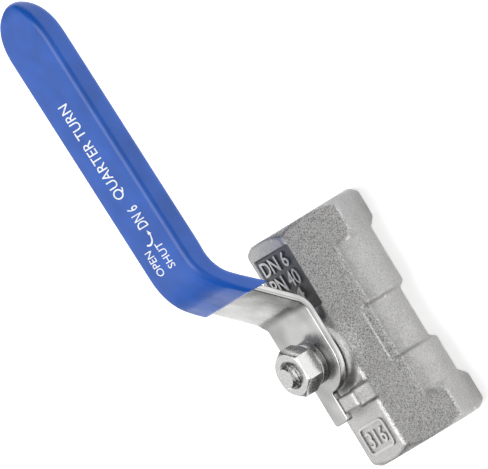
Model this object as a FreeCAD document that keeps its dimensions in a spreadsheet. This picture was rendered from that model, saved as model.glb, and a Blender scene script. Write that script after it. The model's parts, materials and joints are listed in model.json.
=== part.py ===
"""Mini ball valve: one-piece hexagonal body, quarter-turn lever, female pipe thread at both ends.

Frame: the origin is the ball's centre, where the bore axis and the stem axis cross.
+X runs along the bore towards the lever's tip (valve open), +Z runs up the stem.
All sizes are in millimetres and live in the spreadsheet named Sizes.
"""
import FreeCAD, Part
import math
import os
import Sketcher

DRIVING_SIZES = [
    # valve body, outside
    ("across_flats", 17.5, "hexagonal ends, across flats"),
    ("lever_side_length", 19.9, "stem axis to the body's end below the lever"),
    ("plain_side_length", 19.2, "stem axis to the other end"),
    ("collar_length", 5.45, "full hexagon at each end, below as well as above"),
    ("end_chamfer_drop", 1.4, "chamfer that rounds the hexagon's corners at each end, across the bore"),
    ("end_chamfer_run", 1.15, "the same chamfer, along the bore"),
    ("relief_centre", -1.37, "middle of the hollowed belly, along the bore"),
    ("relief_length", 9.9, "length of the hollowed belly"),
    ("relief_depth", 1.0, "depth of the hollowed belly"),
    ("relief_slope", 0.7, "run of the belly's end walls"),
    ("boss_radius", 5.8, "round boss that the stem comes out of"),
    ("panel_start", 7.0, "stem axis to the near end of the sunk panel on top"),
    ("panel_end", 17.5, "stem axis to its far end"),
    ("panel_side", 4.0, "stem axis to its side wall; its other side is open"),
    ("panel_depth", 0.4, "sunk panel on top"),
    ("lug_length", 2.8, "stop lug, along the bore"),
    ("lug_width", 4.7, "stop lug, across the bore"),
    ("lug_rounding", 0.6, "rounded top edges of the stop lug"),
    ("open_stop_play", 0.1, "between the tab and the stop lug when the valve is open"),
    ("closed_stop_play", 0.4, "between the strap and the stop lug when the valve is closed"),
    # bore, ports and seats
    ("port_radius", 2.5, "bore of the ball"),
    ("passage_margin", 0.1, "how much wider the seats and the body's passage are than the port"),
    ("ball_radius", 4.6, "ball"),
    ("ball_clearance", 0.05, "film between the ball and its seats"),
    ("cavity_margin", 0.15, "how much wider the cavity is than the ball"),
    ("seat_front", 2.6, "ball centre to a seat's front face"),
    ("seat_back", 5.4, "ball centre to a seat's back face"),
    ("thread_radius", 4.28, "minor radius of the pipe thread in each port"),
    ("thread_depth", 9.5, "depth of the thread, with its mouth chamfer"),
    ("thread_taper", 0.9, "drill cone between thread and passage"),
    ("mouth_chamfer", 0.6, "lead-in at each port"),
    ("insert_radius", 6.3, "outside of the end insert, on its thread"),
    ("insert_recess", 0.7, "how far the insert sits inside the body's end"),
    ("insert_shoulder", 8.0, "ball centre to the body's shoulder for the gasket"),
    ("gasket_thickness", 0.6, "flat seal between insert and body"),
    ("key_across_flats", 5.6, "hexagonal key hole through the insert"),
    # stem and its seals, counted upwards from the cavity
    ("slot_width", 2.0, "slot across the top of the ball"),
    ("slot_depth", 1.3, "depth of that slot"),
    ("tang_seat_gap", 0.1, "between the turning tang's corners and the seats"),
    ("tang_gap", 0.1, "play below the tang"),
    ("running_clearance", 0.05, "radial play of every turning fit"),
    ("flange_gap", 0.2, "cavity wall to the stem's flange"),
    ("flange_radius", 3.7, "blow-out-proof flange of the stem"),
    ("flange_thickness", 0.9, "flange of the stem"),
    ("thrust_thickness", 0.5, "washer above the flange"),
    ("lip_thickness", 0.65, "wall of the body between flange and packing"),
    ("shaft_radius", 2.8, "stem shaft"),
    ("packing_radius", 4.2, "packing box"),
    ("packing_thickness", 0.55, "one packing ring"),
    ("chevron_height", 0.2, "V of each packing ring"),
    ("follower_thickness", 0.45, "ring between packing and gland nut"),
    ("gland_radius", 4.6, "thread of the gland nut"),
    ("gland_thickness", 1.1, "gland nut, flush with the boss"),
    ("gland_slot_width", 1.0, "driver slot of the gland nut"),
    ("gland_slot_depth", 0.4, "driver slot of the gland nut"),
    # lever, washer and nut
    ("lever_gap", 0.6, "boss to the underside of the lever"),
    ("strap_thickness", 1.2, "lever strap"),
    ("strap_width", 12.6, "lever strap where it is flat"),
    ("drive_flats", 4.2, "stem's two flats in the lever, across"),
    ("clamp_gap", 0.1, "how far the stem's shoulder stays below the lever's top"),
    ("plate_radius", 5.6, "round corner of the lever beside the stem"),
    ("plate_far_side", 5.8, "stem axis to the lever's other edge beside the stem"),
    ("plate_end", 3.2, "stem axis to the end of that edge, along the bore"),
    ("plate_step", 1.0, "slanted step between that edge and the strap's full width"),
    ("tab_length", 4.9, "stop tab, beyond the round corner"),
    ("tab_width", 3.8, "stop tab"),
    ("tab_edge", 0.3, "stem axis to the tab's stop edge, across the bore"),
    ("first_bend", 8.4, "stem axis to the lever's first bend, on its top face"),
    ("incline_angle", 50.0, "slope of the lever's middle part, degrees"),
    ("handle_angle", 1.6, "slope of the handle, degrees"),
    ("bend_rise", 13.35, "height of the second bend above the first, on the top face"),
    ("lever_reach", 69.7, "stem axis to the strap's tip"),
    ("nose_length", 7.0, "pointed end of the strap"),
    ("handle_width", 10.4, "handle, where the strap's edges are turned down"),
    ("handle_height", 2.5, "handle, with its turned-down edges"),
    ("taper_start", 15.5, "stem axis to where the strap starts to narrow"),
    ("taper_end", 24.0, "stem axis to where the handle has its full depth"),
    ("lip_end_gap", 7.5, "the turned-down edges stop this far before the tip"),
    ("first_bend_radius", 3.0, "inside the lever's first bend"),
    ("second_bend_radius", 8.0, "inside the lever's second bend"),
    ("sleeve_wall", 0.75, "grip sleeve"),
    ("sleeve_start", 9.2, "first bend to the sleeve's mouth, along the incline"),
    ("thread_m4_radius", 2.0, "stem's threaded end"),
    ("washer_radius", 3.7, "spring washer, outside"),
    ("washer_bore", 2.15, "spring washer, inside"),
    ("washer_thickness", 1.4, "spring washer, flattened"),
    ("washer_split", 0.5, "gap in the spring washer"),
    ("nut_across_flats", 7.0, "lever nut"),
    ("nut_height", 3.2, "lever nut"),
    ("nut_countersink", 0.35, "lead-in at both ends of the nut's thread"),
    ("thread_flats", 3.0, "the threaded end's two flats, across"),
    ("stem_protrusion", 1.25, "stem end above the nut"),
    ("stem_end_chamfer", 0.25, "stem end"),
]

BASE_PLANES = {"XY": "XY_Plane", "XZ": "XZ_Plane", "YZ": "YZ_Plane"}
PACKING_RINGS = ("lower", "middle", "upper")
ROUND_SECTOR = 240.0  # degrees of the body's round middle, centred straight below the bore
CUTTER_REACH = 1  # how far a cutting outline reaches past a piece's face

doc = FreeCAD.newDocument("BallValve")
sheet = doc.addObject("Spreadsheet::Sheet", "Sizes")
for line, (alias, number, meaning) in enumerate(DRIVING_SIZES, start=1):
    sheet.set(f"A{line}", alias.replace("_", " "))
    sheet.set(f"B{line}", str(number))
    sheet.set(f"C{line}", meaning)
    sheet.setAlias(f"B{line}", alias)
doc.recompute()


# ---- expressions shared by the pieces ------------------------------------------------------------


def size(alias):
    """The expression that reads one driving size."""
    return f"Sizes.{alias}"


def total(*terms):
    """The sum of driving sizes and of expressions."""
    return "(" + " + ".join(size(term) if term.isidentifier() else term for term in terms) + ")"


def minus(expression):
    return f"(-1 * {expression})"


def half(expression):
    return f"({expression} / 2)"


def value(expression):
    """The number that an expression has now."""
    return float(sheet.evalExpression(expression))


CORNER_RATIO = 1 / math.cos(math.radians(30))

flat_radius = half(size("across_flats"))
corner_radius = f"({flat_radius} * {CORNER_RATIO:.9f})"
corner_rise = f"({corner_radius} - {flat_radius})"
passage_radius = total("port_radius", "passage_margin")
cavity_radius = total("ball_radius", "cavity_margin")
seat_sphere = total("ball_radius", "ball_clearance")
stem_hole = total("shaft_radius", "running_clearance")

flange_bottom = total(cavity_radius, "flange_gap")
flange_top = total(flange_bottom, "flange_thickness")
thrust_top = total(flange_top, "thrust_thickness")
lip_top = total(thrust_top, "lip_thickness")
packing_top = total(lip_top, f"({len(PACKING_RINGS)} * {size('packing_thickness')})")
follower_top = total(packing_top, "follower_thickness")
boss_top = total(follower_top, "gland_thickness")
plate_bottom = total(boss_top, "lever_gap")
plate_top = total(plate_bottom, "strap_thickness")
washer_top = total(plate_top, "washer_thickness")
nut_top = total(washer_top, "nut_height")
stem_top = total(nut_top, "stem_protrusion")
overall_height = total(plate_top, "bend_rise", "lever_reach")
half_strap = half(size("strap_width"))
half_handle = half(size("handle_width"))


# ---- building blocks -----------------------------------------------------------------------------


def arc_geometry(start, end, radius, clockwise):
    """An arc from start to end, whichever way round it is drawn, and the ends of its own two points."""
    chord = end - start
    height = math.sqrt(max(radius**2 - chord.Length**2 / 4, 0.0))
    side = FreeCAD.Vector(-chord.y, chord.x, 0) / chord.Length
    centre = start + chord / 2 + side * (-height if clockwise else height)
    first, last = (end, start) if clockwise else (start, end)
    angles = [math.atan2(point.y - centre.y, point.x - centre.x) for point in (first, last)]
    if angles[1] < angles[0]:
        angles[1] += 2 * math.pi
    circle = Part.Circle(centre, FreeCAD.Vector(0, 0, 1), radius)
    return Part.ArcOfCircle(circle, angles[0], angles[1]), (2, 1) if clockwise else (1, 2)


def draw_outline(sketch, corners):
    """Draw a closed outline whose corners are pairs of expressions.

    A corner may carry a third entry (radius, clockwise): the edge that leaves it is then an arc.
    """
    points = [FreeCAD.Vector(value(corner[0]), value(corner[1]), 0) for corner in corners]
    edges = []
    for index, corner in enumerate(corners):
        start = points[index]
        end = points[(index + 1) % len(points)]
        if len(corner) == 3:
            radius, clockwise = corner[2]
            geometry, ends = arc_geometry(start, end, value(radius), clockwise)
        else:
            geometry, ends = Part.LineSegment(start, end), (1, 2)
        edges.append((sketch.addGeometry(geometry, False), ends))
    for index, corner in enumerate(corners):
        edge, ends = edges[index]
        before, before_ends = edges[index - 1]
        sketch.addConstraint(Sketcher.Constraint("Coincident", before, before_ends[1], edge, ends[0]))
        for kind, expression, number in zip(("DistanceX", "DistanceY"), corner, points[index]):
            place = sketch.addConstraint(Sketcher.Constraint(kind, -1, 1, edge, ends[0], number))
            sketch.setExpression(f"Constraints[{place}]", expression)
        if len(corner) == 3:
            radius = corner[2][0]
            place = sketch.addConstraint(Sketcher.Constraint("Radius", edge, value(radius)))
            sketch.setExpression(f"Constraints[{place}]", radius)
    return sketch


def origin_plane(body, plane):
    return next(o for o in body.Origin.OriginFeatures if o.Role == BASE_PLANES[plane])


def body_sketch(body, name, plane, corners, height=None):
    """An outline on one of the body's base planes, or at a height above it."""
    sketch = body.newObject("Sketcher::SketchObject", name)
    sketch.AttachmentSupport = [(origin_plane(body, plane), "")]
    sketch.MapMode = "FlatFace"
    if height:
        sketch.setExpression("AttachmentOffset.Base.z", height)
    return draw_outline(sketch, corners)


def circle_sketch(body, name, plane, radius, height=None):
    sketch = body_sketch(body, name, plane, [], height)
    circle = Part.Circle(FreeCAD.Vector(0, 0, 0), FreeCAD.Vector(0, 0, 1), value(radius))
    edge = sketch.addGeometry(circle, False)
    sketch.addConstraint(Sketcher.Constraint("Coincident", edge, 3, -1, 1))
    place = sketch.addConstraint(Sketcher.Constraint("Radius", edge, value(radius)))
    sketch.setExpression(f"Constraints[{place}]", radius)
    return sketch


def new_body(label):
    body = doc.addObject("PartDesign::Body", label)
    body.Label = label
    return body


def extrude(body, kind, sketch, length, back=None, symmetric=False, flip=False):
    """A Pad or a Pocket of the given length."""
    feature = body.newObject(f"PartDesign::{kind}", f"{sketch.Name}_{kind}")
    feature.Profile = sketch
    feature.setExpression("Length", length)
    feature.Reversed = flip
    if back:
        feature.SideType = "Two sides"
        feature.setExpression("Length2", back)
    if symmetric:
        feature.SideType = "Symmetric"
    return feature


def turn(body, kind, sketch, axis, angle=360.0):
    """A Revolution or a Groove about the sketch's horizontal (H) or vertical (V) axis."""
    feature = body.newObject(f"PartDesign::{kind}", f"{sketch.Name}_{kind}")
    feature.Profile = sketch
    feature.ReferenceAxis = (sketch, [f"{axis}_Axis"])
    feature.Angle = angle
    feature.Midplane = angle < 360.0
    return feature


def turned_part(label, axis, corners):
    """A piece turned about the bore (axis H: corners are along, radius) or the stem (axis V: radius, up)."""
    body = new_body(label)
    turn(body, "Revolution", body_sketch(body, f"{label}_outline", "XZ", corners), axis)
    return body


def hexagon(across):
    """A hexagon's corners, with two of its flats level in the sketch."""
    radius = f"({across} * {CORNER_RATIO / 2:.9f})"
    return [(f"({radius} * cos({60 * step}))", f"({radius} * sin({60 * step}))") for step in range(6)]


def rectangle(low_x, low_y, high_x, high_y):
    return [(low_x, low_y), (high_x, low_y), (high_x, high_y), (low_x, high_y)]


def cut(label, base, tool):
    feature = doc.addObject("Part::Cut", label)
    feature.Base = base
    feature.Tool = tool
    feature.Label = label
    return feature


def bind(feature, **expressions):
    """Tie properties to expressions; x, y and z stand for the placement."""
    for name, expression in expressions.items():
        path = f"Placement.Base.{name}" if name in ("x", "y", "z") else name
        feature.setExpression(path, expression)
    return feature


# ---- the valve body ------------------------------------------------------------------------------


def end_chamfer_outline(end, direction):
    """The wedge, beside one end, that rounds off the hexagon's corners."""
    face_radius = f"({corner_radius} - {size('end_chamfer_drop')})"
    far = total(corner_radius, "end_chamfer_drop")
    inward = f"({end} - {direction} * 2 * {size('end_chamfer_run')})"
    outward = f"({end} + {direction} * {CUTTER_REACH})"
    return [
        (end, face_radius),
        (outward, face_radius),
        (outward, far),
        (inward, far),
    ]


def make_valve_body():
    body = new_body("valve_body")
    lever_end = size("lever_side_length")
    plain_end = minus(size("plain_side_length"))
    prism = body_sketch(body, "body_hexagon", "YZ", hexagon(size("across_flats")))
    extrude(body, "Pad", prism, lever_end, back=size("plain_side_length"))

    # the middle is round below the centre lines of the two upper sloping flats
    barrel_start = f"({plain_end} + {size('collar_length')})"
    barrel_end = f"({lever_end} - {size('collar_length')})"
    outside = f"({corner_radius} + {CUTTER_REACH})"
    cone_run = f"({outside} - {flat_radius})"
    low_start = f"({barrel_start} + {corner_rise})"
    low_end = f"({barrel_end} - {corner_rise})"
    barrel = [
        (low_start, minus(flat_radius)),
        (low_end, minus(flat_radius)),
        (f"({low_end} + {cone_run})", minus(outside)),
        (f"({low_start} - {cone_run})", minus(outside)),
    ]
    turn(body, "Groove", body_sketch(body, "barrel", "XZ", barrel), "H", angle=ROUND_SECTOR)

    belly_start = f"({size('relief_centre')} - {half(size('relief_length'))})"
    belly_end = f"({size('relief_centre')} + {half(size('relief_length'))})"
    belly_radius = f"({flat_radius} - {size('relief_depth')})"
    slope = size("relief_slope")
    belly = [
        (f"({belly_start} + {slope})", minus(belly_radius)),
        (f"({belly_end} - {slope})", minus(belly_radius)),
        (belly_end, minus(flat_radius)),
        (belly_end, minus(outside)),
        (belly_start, minus(outside)),
        (belly_start, minus(flat_radius)),
    ]
    turn(body, "Groove", body_sketch(body, "belly", "XZ", belly), "H", angle=ROUND_SECTOR)

    for name, end, direction in (("lever_end", lever_end, 1), ("plain_end", plain_end, -1)):
        outline = end_chamfer_outline(end, direction)
        turn(body, "Groove", body_sketch(body, f"{name}_chamfer", "XZ", outline), "H")

    panel_floor = f"({flat_radius} - {size('panel_depth')})"
    panel_outline = rectangle(
        size("panel_start"), minus(flat_radius), size("panel_end"), size("panel_side")
    )
    panel = body_sketch(body, "panel", "XY", panel_outline, height=panel_floor)
    extrude(body, "Pocket", panel, size("across_flats"), flip=True)

    extrude(body, "Pad", circle_sketch(body, "boss", "XY", size("boss_radius")), boss_top)

    lug_near = total(half_strap, "closed_stop_play")
    lug_side = total("tab_edge", "open_stop_play")
    lug_outline = rectangle(
        minus(total(lug_near, "lug_length")),
        minus(total(lug_side, "lug_width")),
        minus(lug_near),
        minus(lug_side),
    )
    lug_bottom = f"({flat_radius} - {size('relief_depth')})"
    lug_top = plate_top
    lug = body_sketch(body, "lug", "XY", lug_outline, height=lug_bottom)
    lug_pad = extrude(body, "Pad", lug, f"({lug_top} - {lug_bottom})")
    doc.recompute()
    top_edges = []
    for number, edge in enumerate(lug_pad.Shape.Edges, start=1):
        if all(abs(vertex.Z - value(lug_top)) < 1e-4 for vertex in edge.Vertexes):
            top_edges.append(f"Edge{number}")
    rounding = body.newObject("PartDesign::Fillet", "lug_rounding")
    rounding.Base = (lug_pad, top_edges)
    rounding.setExpression("Radius", size("lug_rounding"))

    thread_end = f"({plain_end} + {size('thread_depth')})"
    bore = [
        (plain_end, "0"),
        (lever_end, "0"),
        (lever_end, total("insert_radius", half(size("mouth_chamfer")))),
        (f"({lever_end} - {half(size('mouth_chamfer'))})", size("insert_radius")),
        (size("insert_shoulder"), size("insert_radius")),
        (size("insert_shoulder"), cavity_radius),
        (minus(size("seat_back")), cavity_radius),
        (minus(size("seat_back")), passage_radius),
        (total(thread_end, "thread_taper"), passage_radius),
        (thread_end, size("thread_radius")),
        (f"({plain_end} + {size('mouth_chamfer')})", size("thread_radius")),
        (plain_end, total("thread_radius", "mouth_chamfer")),
    ]
    turn(body, "Groove", body_sketch(body, "bore", "XZ", bore), "H")

    flange_pocket = total("flange_radius", "cavity_margin")
    above_boss = f"({boss_top} + {flat_radius})"
    stem_bore = [
        ("0", "0"),
        (flange_pocket, "0"),
        (flange_pocket, thrust_top),
        (stem_hole, thrust_top),
        (stem_hole, lip_top),
        (size("packing_radius"), lip_top),
        (size("packing_radius"), follower_top),
        (size("gland_radius"), follower_top),
        (size("gland_radius"), above_boss),
        ("0", above_boss),
    ]
    turn(body, "Groove", body_sketch(body, "stem_bore", "XZ", stem_bore), "V")
    return body


# ---- the flow path -------------------------------------------------------------------------------


def make_end_insert():
    mouth = f"({size('lever_side_length')} - {size('insert_recess')})"
    flange = total("insert_shoulder", "gasket_thickness")
    thread_end = f"({mouth} - {size('thread_depth')})"
    taper_end = f"({thread_end} - {size('thread_taper')})"
    outline = [
        (size("seat_back"), "0"),
        (taper_end, "0"),
        (taper_end, passage_radius),
        (thread_end, size("thread_radius")),
        (f"({mouth} - {size('mouth_chamfer')})", size("thread_radius")),
        (mouth, total("thread_radius", "mouth_chamfer")),
        (mouth, size("insert_radius")),
        (flange, size("insert_radius")),
        (flange, cavity_radius),
        (size("seat_back"), cavity_radius),
    ]
    body = turned_part("end_insert", "H", outline)
    key = body_sketch(body, "insert_key", "YZ", hexagon(size("key_across_flats")))
    extrude(body, "Pocket", key, mouth, flip=True)
    return body


def make_insert_gasket():
    shoulder = size("insert_shoulder")
    back = total("insert_shoulder", "gasket_thickness")
    outline = rectangle(shoulder, cavity_radius, back, size("insert_radius"))
    return turned_part("insert_gasket", "H", outline)


def make_seat(label, side):
    """A seat ring with a spherical face; side is 1 towards the insert and -1 away from it."""
    front = size("seat_front")
    lip_along = f"sqrt(({seat_sphere})^2 - ({passage_radius})^2)"
    lip_radius = f"sqrt(({seat_sphere})^2 - ({front})^2)"
    outline = [
        (f"({side} * {size('seat_back')})", passage_radius),
        (f"({side} * {size('seat_back')})", cavity_radius),
        (f"({side} * {front})", cavity_radius),
        (f"({side} * {front})", lip_radius, (seat_sphere, side > 0)),
        (f"({side} * {lip_along})", passage_radius),
    ]
    return turned_part(label, "H", outline)


def make_ball():
    sphere = bind(doc.addObject("Part::Sphere", "ball_blank"), Radius=size("ball_radius"))
    port = doc.addObject("Part::Cylinder", "ball_port")
    port.Placement = FreeCAD.Placement(FreeCAD.Vector(), FreeCAD.Rotation(FreeCAD.Vector(0, 1, 0), 90))
    across = f"({size('ball_radius')} * 3)"
    bind(port, Radius=size("port_radius"), Height=across, x=minus(half(across)))
    slot = doc.addObject("Part::Box", "ball_slot")
    bind(slot, Length=size("slot_width"), Width=across, Height=size("ball_radius"))
    slot_floor = f"({size('ball_radius')} - {size('slot_depth')})"
    bind(slot, x=minus(half(size("slot_width"))), y=minus(half(across)), z=slot_floor)
    return cut("ball", cut("ball_bored", sphere, port), slot)


# ---- the stem and its seals ----------------------------------------------------------------------


def make_stem():
    shoulder = f"({plate_top} - {size('clamp_gap')})"
    thread = size("thread_m4_radius")
    chamfer = size("stem_end_chamfer")
    outline = [
        ("0", flange_bottom),
        (size("flange_radius"), flange_bottom),
        (size("flange_radius"), flange_top),
        (size("shaft_radius"), flange_top),
        (size("shaft_radius"), shoulder),
        (thread, shoulder),
        (thread, f"({stem_top} - {chamfer})"),
        (f"({thread} - {chamfer})", stem_top),
        ("0", stem_top),
    ]
    body = turned_part("stem", "V", outline)
    reach = total("shaft_radius", "shaft_radius")
    drive = ("drive", half(size("drive_flats")), plate_bottom, shoulder)
    threaded = ("thread", half(size("thread_flats")), shoulder, stem_top)
    for name, flat, bottom, top in (drive, threaded):
        for side, near, far in (("left", flat, reach), ("right", minus(reach), minus(flat))):
            outline = rectangle(minus(reach), near, reach, far)
            sketch = body_sketch(body, f"{name}_flat_{side}", "XY", outline, height=bottom)
            extrude(body, "Pocket", sketch, f"({top} - {bottom})", flip=True)
    tang_half = f"({half(size('slot_width'))} - {size('running_clearance')})"
    sweep = f"({size('seat_front')} - {size('tang_seat_gap')})"
    tang_reach = f"sqrt({sweep}^2 - {tang_half}^2)"
    tang_outline = rectangle(minus(tang_half), minus(tang_reach), tang_half, tang_reach)
    tang = body_sketch(body, "tang", "XY", tang_outline, height=flange_bottom)
    tang_bottom = f"({size('ball_radius')} - {size('slot_depth')} + {size('tang_gap')})"
    extrude(body, "Pad", tang, f"({flange_bottom} - {tang_bottom})", flip=True)
    return body


def make_thrust_washer():
    outline = rectangle(stem_hole, flange_top, size("flange_radius"), thrust_top)
    return turned_part("thrust_washer", "V", outline)


def chevron(bottom, top, point_below, point_above):
    """A ring in the packing box whose faces may point upwards by the chevron's height."""
    middle = half(total(stem_hole, "packing_radius"))
    outer = size("packing_radius")
    corners = [(stem_hole, bottom)]
    if point_below:
        corners.append((middle, total(bottom, "chevron_height")))
    corners += [(outer, bottom), (outer, top)]
    if point_above:
        corners.append((middle, total(top, "chevron_height")))
    return corners + [(stem_hole, top)]


def make_packing():
    rings = []
    for number, name in enumerate(PACKING_RINGS):
        bottom = total(lip_top, f"({number} * {size('packing_thickness')})")
        top = total(bottom, "packing_thickness")
        outline = chevron(bottom, top, point_below=number > 0, point_above=True)
        rings.append(turned_part(f"stem_packing_{name}", "V", outline))
    return rings


def make_gland_follower():
    outline = chevron(packing_top, follower_top, point_below=True, point_above=False)
    return turned_part("gland_follower", "V", outline)


def make_gland_nut():
    ring = rectangle(stem_hole, follower_top, size("gland_radius"), boss_top)
    body = turned_part("gland_nut", "V", ring)
    reach = total("gland_radius", "gland_radius")
    width = half(size("gland_slot_width"))
    slot_floor = f"({boss_top} - {size('gland_slot_depth')})"
    outline = rectangle(minus(width), minus(reach), width, reach)
    slot = body_sketch(body, "gland_slot", "XY", outline, height=slot_floor)
    extrude(body, "Pocket", slot, size("gland_thickness"), flip=True)
    return body


# ---- the lever, its sleeve and its fastening -------------------------------------------------------

tab_tip = minus(total("plate_radius", "tab_length"))
slope_tangent = f"tan({size('incline_angle')})"
second_bend_x = f"({size('first_bend')} + {size('bend_rise')} / {slope_tangent})"
second_bend_z = total(plate_top, "bend_rise")

# a bend: where the top face's two straight runs would meet, and their slopes before and after
FIRST_BEND = (size("first_bend"), plate_top, "0", size("incline_angle"))
SECOND_BEND = (second_bend_x, second_bend_z, size("incline_angle"), size("handle_angle"))


def moved(point, distance, angle):
    """A point moved by a distance along a slope."""
    return (f"({point[0]} + {distance} * cos({angle}))", f"({point[1]} + {distance} * sin({angle}))")


def bend_corner(bend, depth_before, depth_after):
    """Where two lines meet that run at these depths below the lever's top face."""
    x, z, before, after = bend
    fold = f"({before} - {after})"
    share_before = f"(({depth_before} - {depth_after} * cos({fold})) / sin({fold})^2)"
    share_after = f"(({depth_after} - {depth_before} * cos({fold})) / sin({fold})^2)"
    return (
        f"({x} + {share_before} * sin({before}) + {share_after} * sin({after}))",
        f"({z} - {share_before} * cos({before}) - {share_after} * cos({after}))",
    )


def rounded_bend(bend, depth, radius):
    """The two ends of the arc that rounds a bend, at one depth below the top face."""
    corner = bend_corner(bend, depth, depth)
    run = f"({radius} * abs(tan({half(f'({bend[2]} - {bend[3]})')})))"
    return moved(corner, minus(run), bend[2]), moved(corner, run, bend[3])


def handle_point(x, depth):
    """The point of the handle at one place along the bore and one depth below its top face."""
    angle = size("handle_angle")
    level = f"({second_bend_z} + ({x} - {second_bend_x}) * tan({angle}) - {depth} / cos({angle}))"
    return (x, level)


def side_view(corners, name):
    sketch = doc.addObject("Sketcher::SketchObject", name)
    sketch.Placement = FreeCAD.Placement(FreeCAD.Vector(), FreeCAD.Rotation(FreeCAD.Vector(1, 0, 0), 90))
    return draw_outline(sketch, corners)


def plan_view(corners, name):
    return draw_outline(doc.addObject("Sketcher::SketchObject", name), corners)


def slab(sketch, length, direction, symmetric=True):
    """A straight extrusion of an outline."""
    feature = doc.addObject("Part::Extrusion", f"{sketch.Name}_slab")
    feature.Base = sketch
    feature.DirMode = "Custom"
    feature.Dir = direction
    feature.Solid = True
    feature.Symmetric = symmetric
    feature.setExpression("LengthFwd", length)
    return feature


def common(label, *shapes):
    feature = doc.addObject("Part::MultiCommon", label)
    feature.Shapes = list(shapes)
    return feature


def lever_side_outline():
    """The strap's side view, from the tab to the tip, with round bends."""
    thickness = size("strap_thickness")
    inner_first = size("first_bend_radius")
    outer_first = total(inner_first, "strap_thickness")
    inner_second = size("second_bend_radius")
    outer_second = total(inner_second, "strap_thickness")
    low_first = rounded_bend(FIRST_BEND, thickness, outer_first)
    low_second = rounded_bend(SECOND_BEND, thickness, inner_second)
    top_first = rounded_bend(FIRST_BEND, "0", inner_first)
    top_second = rounded_bend(SECOND_BEND, "0", outer_second)
    return [
        (tab_tip, plate_bottom),
        (*low_first[0], (outer_first, False)),
        low_first[1],
        (*low_second[0], (inner_second, True)),
        low_second[1],
        handle_point(size("lever_reach"), thickness),
        handle_point(size("lever_reach"), "0"),
        (*top_second[1], (outer_second, False)),
        top_second[0],
        (*top_first[1], (inner_first, True)),
        top_first[0],
        (tab_tip, plate_top),
    ]


def lever_plan_outline():
    """The strap's plan: tab, round corner beside the stem, full width, taper, handle and round tip."""
    tip = size("lever_reach")
    nose_start = f"({tip} - {size('nose_length')})"
    nose = (nose_arc(size("nose_length"), half_handle), False)
    corner_side = f"({half_strap} - {size('plate_radius')})"
    tab_near = minus(size("tab_edge"))
    tab_far = f"({size('tab_width')} - {size('tab_edge')})"
    return [
        (tab_tip, tab_near),
        (minus(size("plate_radius")), tab_near),
        (minus(size("plate_radius")), minus(corner_side), (size("plate_radius"), False)),
        ("0", minus(half_strap)),
        (size("taper_start"), minus(half_strap)),
        (size("taper_end"), minus(half_handle)),
        (nose_start, minus(half_handle), nose),
        (tip, "0", nose),
        (nose_start, half_handle),
        (size("taper_end"), half_handle),
        (size("taper_start"), half_strap),
        (size("first_bend"), half_strap),
        (f"({size('first_bend')} - {size('plate_step')})", size("plate_far_side")),
        (minus(size("plate_end")), size("plate_far_side")),
        (minus(size("plate_end")), tab_far),
        (tab_tip, tab_far),
    ]


def nose_arc(length, half_width):
    """The radius of the arc that runs from a straight side to the point of the nose."""
    return f"(({length}^2 + {half_width}^2) / (2 * {half_width}))"


def handle_lip(name, low, high):
    """One turned-down edge of the handle, between two distances across."""
    thickness = size("strap_thickness")
    end = f"({size('lever_reach')} - {size('lip_end_gap')})"
    corners = [
        bend_corner(SECOND_BEND, thickness, size("handle_height")),
        handle_point(end, size("handle_height")),
        handle_point(end, half(thickness)),
        handle_point(f"({second_bend_x} + {size('second_bend_radius')})", half(thickness)),
    ]
    lip = slab(side_view(corners, name), f"({high} - {low})", FreeCAD.Vector(0, 1, 0), symmetric=False)
    return bind(lip, y=low)


def make_lever():
    wide = total("strap_width", "strap_width")
    side = slab(side_view(lever_side_outline(), "lever_side"), wide, FreeCAD.Vector(0, 1, 0))
    tall = total(overall_height, overall_height)
    plan = slab(plan_view(lever_plan_outline(), "lever_plan"), tall, FreeCAD.Vector(0, 0, 1))
    strap = common("lever_strap", side, plan)
    inner = f"({half_handle} - {size('strap_thickness')})"
    lips = [
        handle_lip("lip_right", minus(half_handle), minus(inner)),
        handle_lip("lip_left", inner, half_handle),
    ]
    joined = doc.addObject("Part::MultiFuse", "lever_joined")
    joined.Shapes = [strap] + lips
    joined.Refine = True

    hole_radius = stem_hole
    hole_flats = total("drive_flats", "running_clearance", "running_clearance")
    round_hole = doc.addObject("Part::Cylinder", "drive_round")
    bind(round_hole, Radius=hole_radius, Height=plate_top, z=half(plate_top))
    flats = doc.addObject("Part::Box", "drive_flat_sides")
    bind(flats, Length=f"(4 * {hole_radius})", Width=hole_flats, Height=plate_top)
    bind(flats, x=minus(f"(2 * {hole_radius})"), y=minus(half(hole_flats)), z=half(plate_top))
    return cut("lever", joined, common("drive_hole", round_hole, flats))


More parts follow.
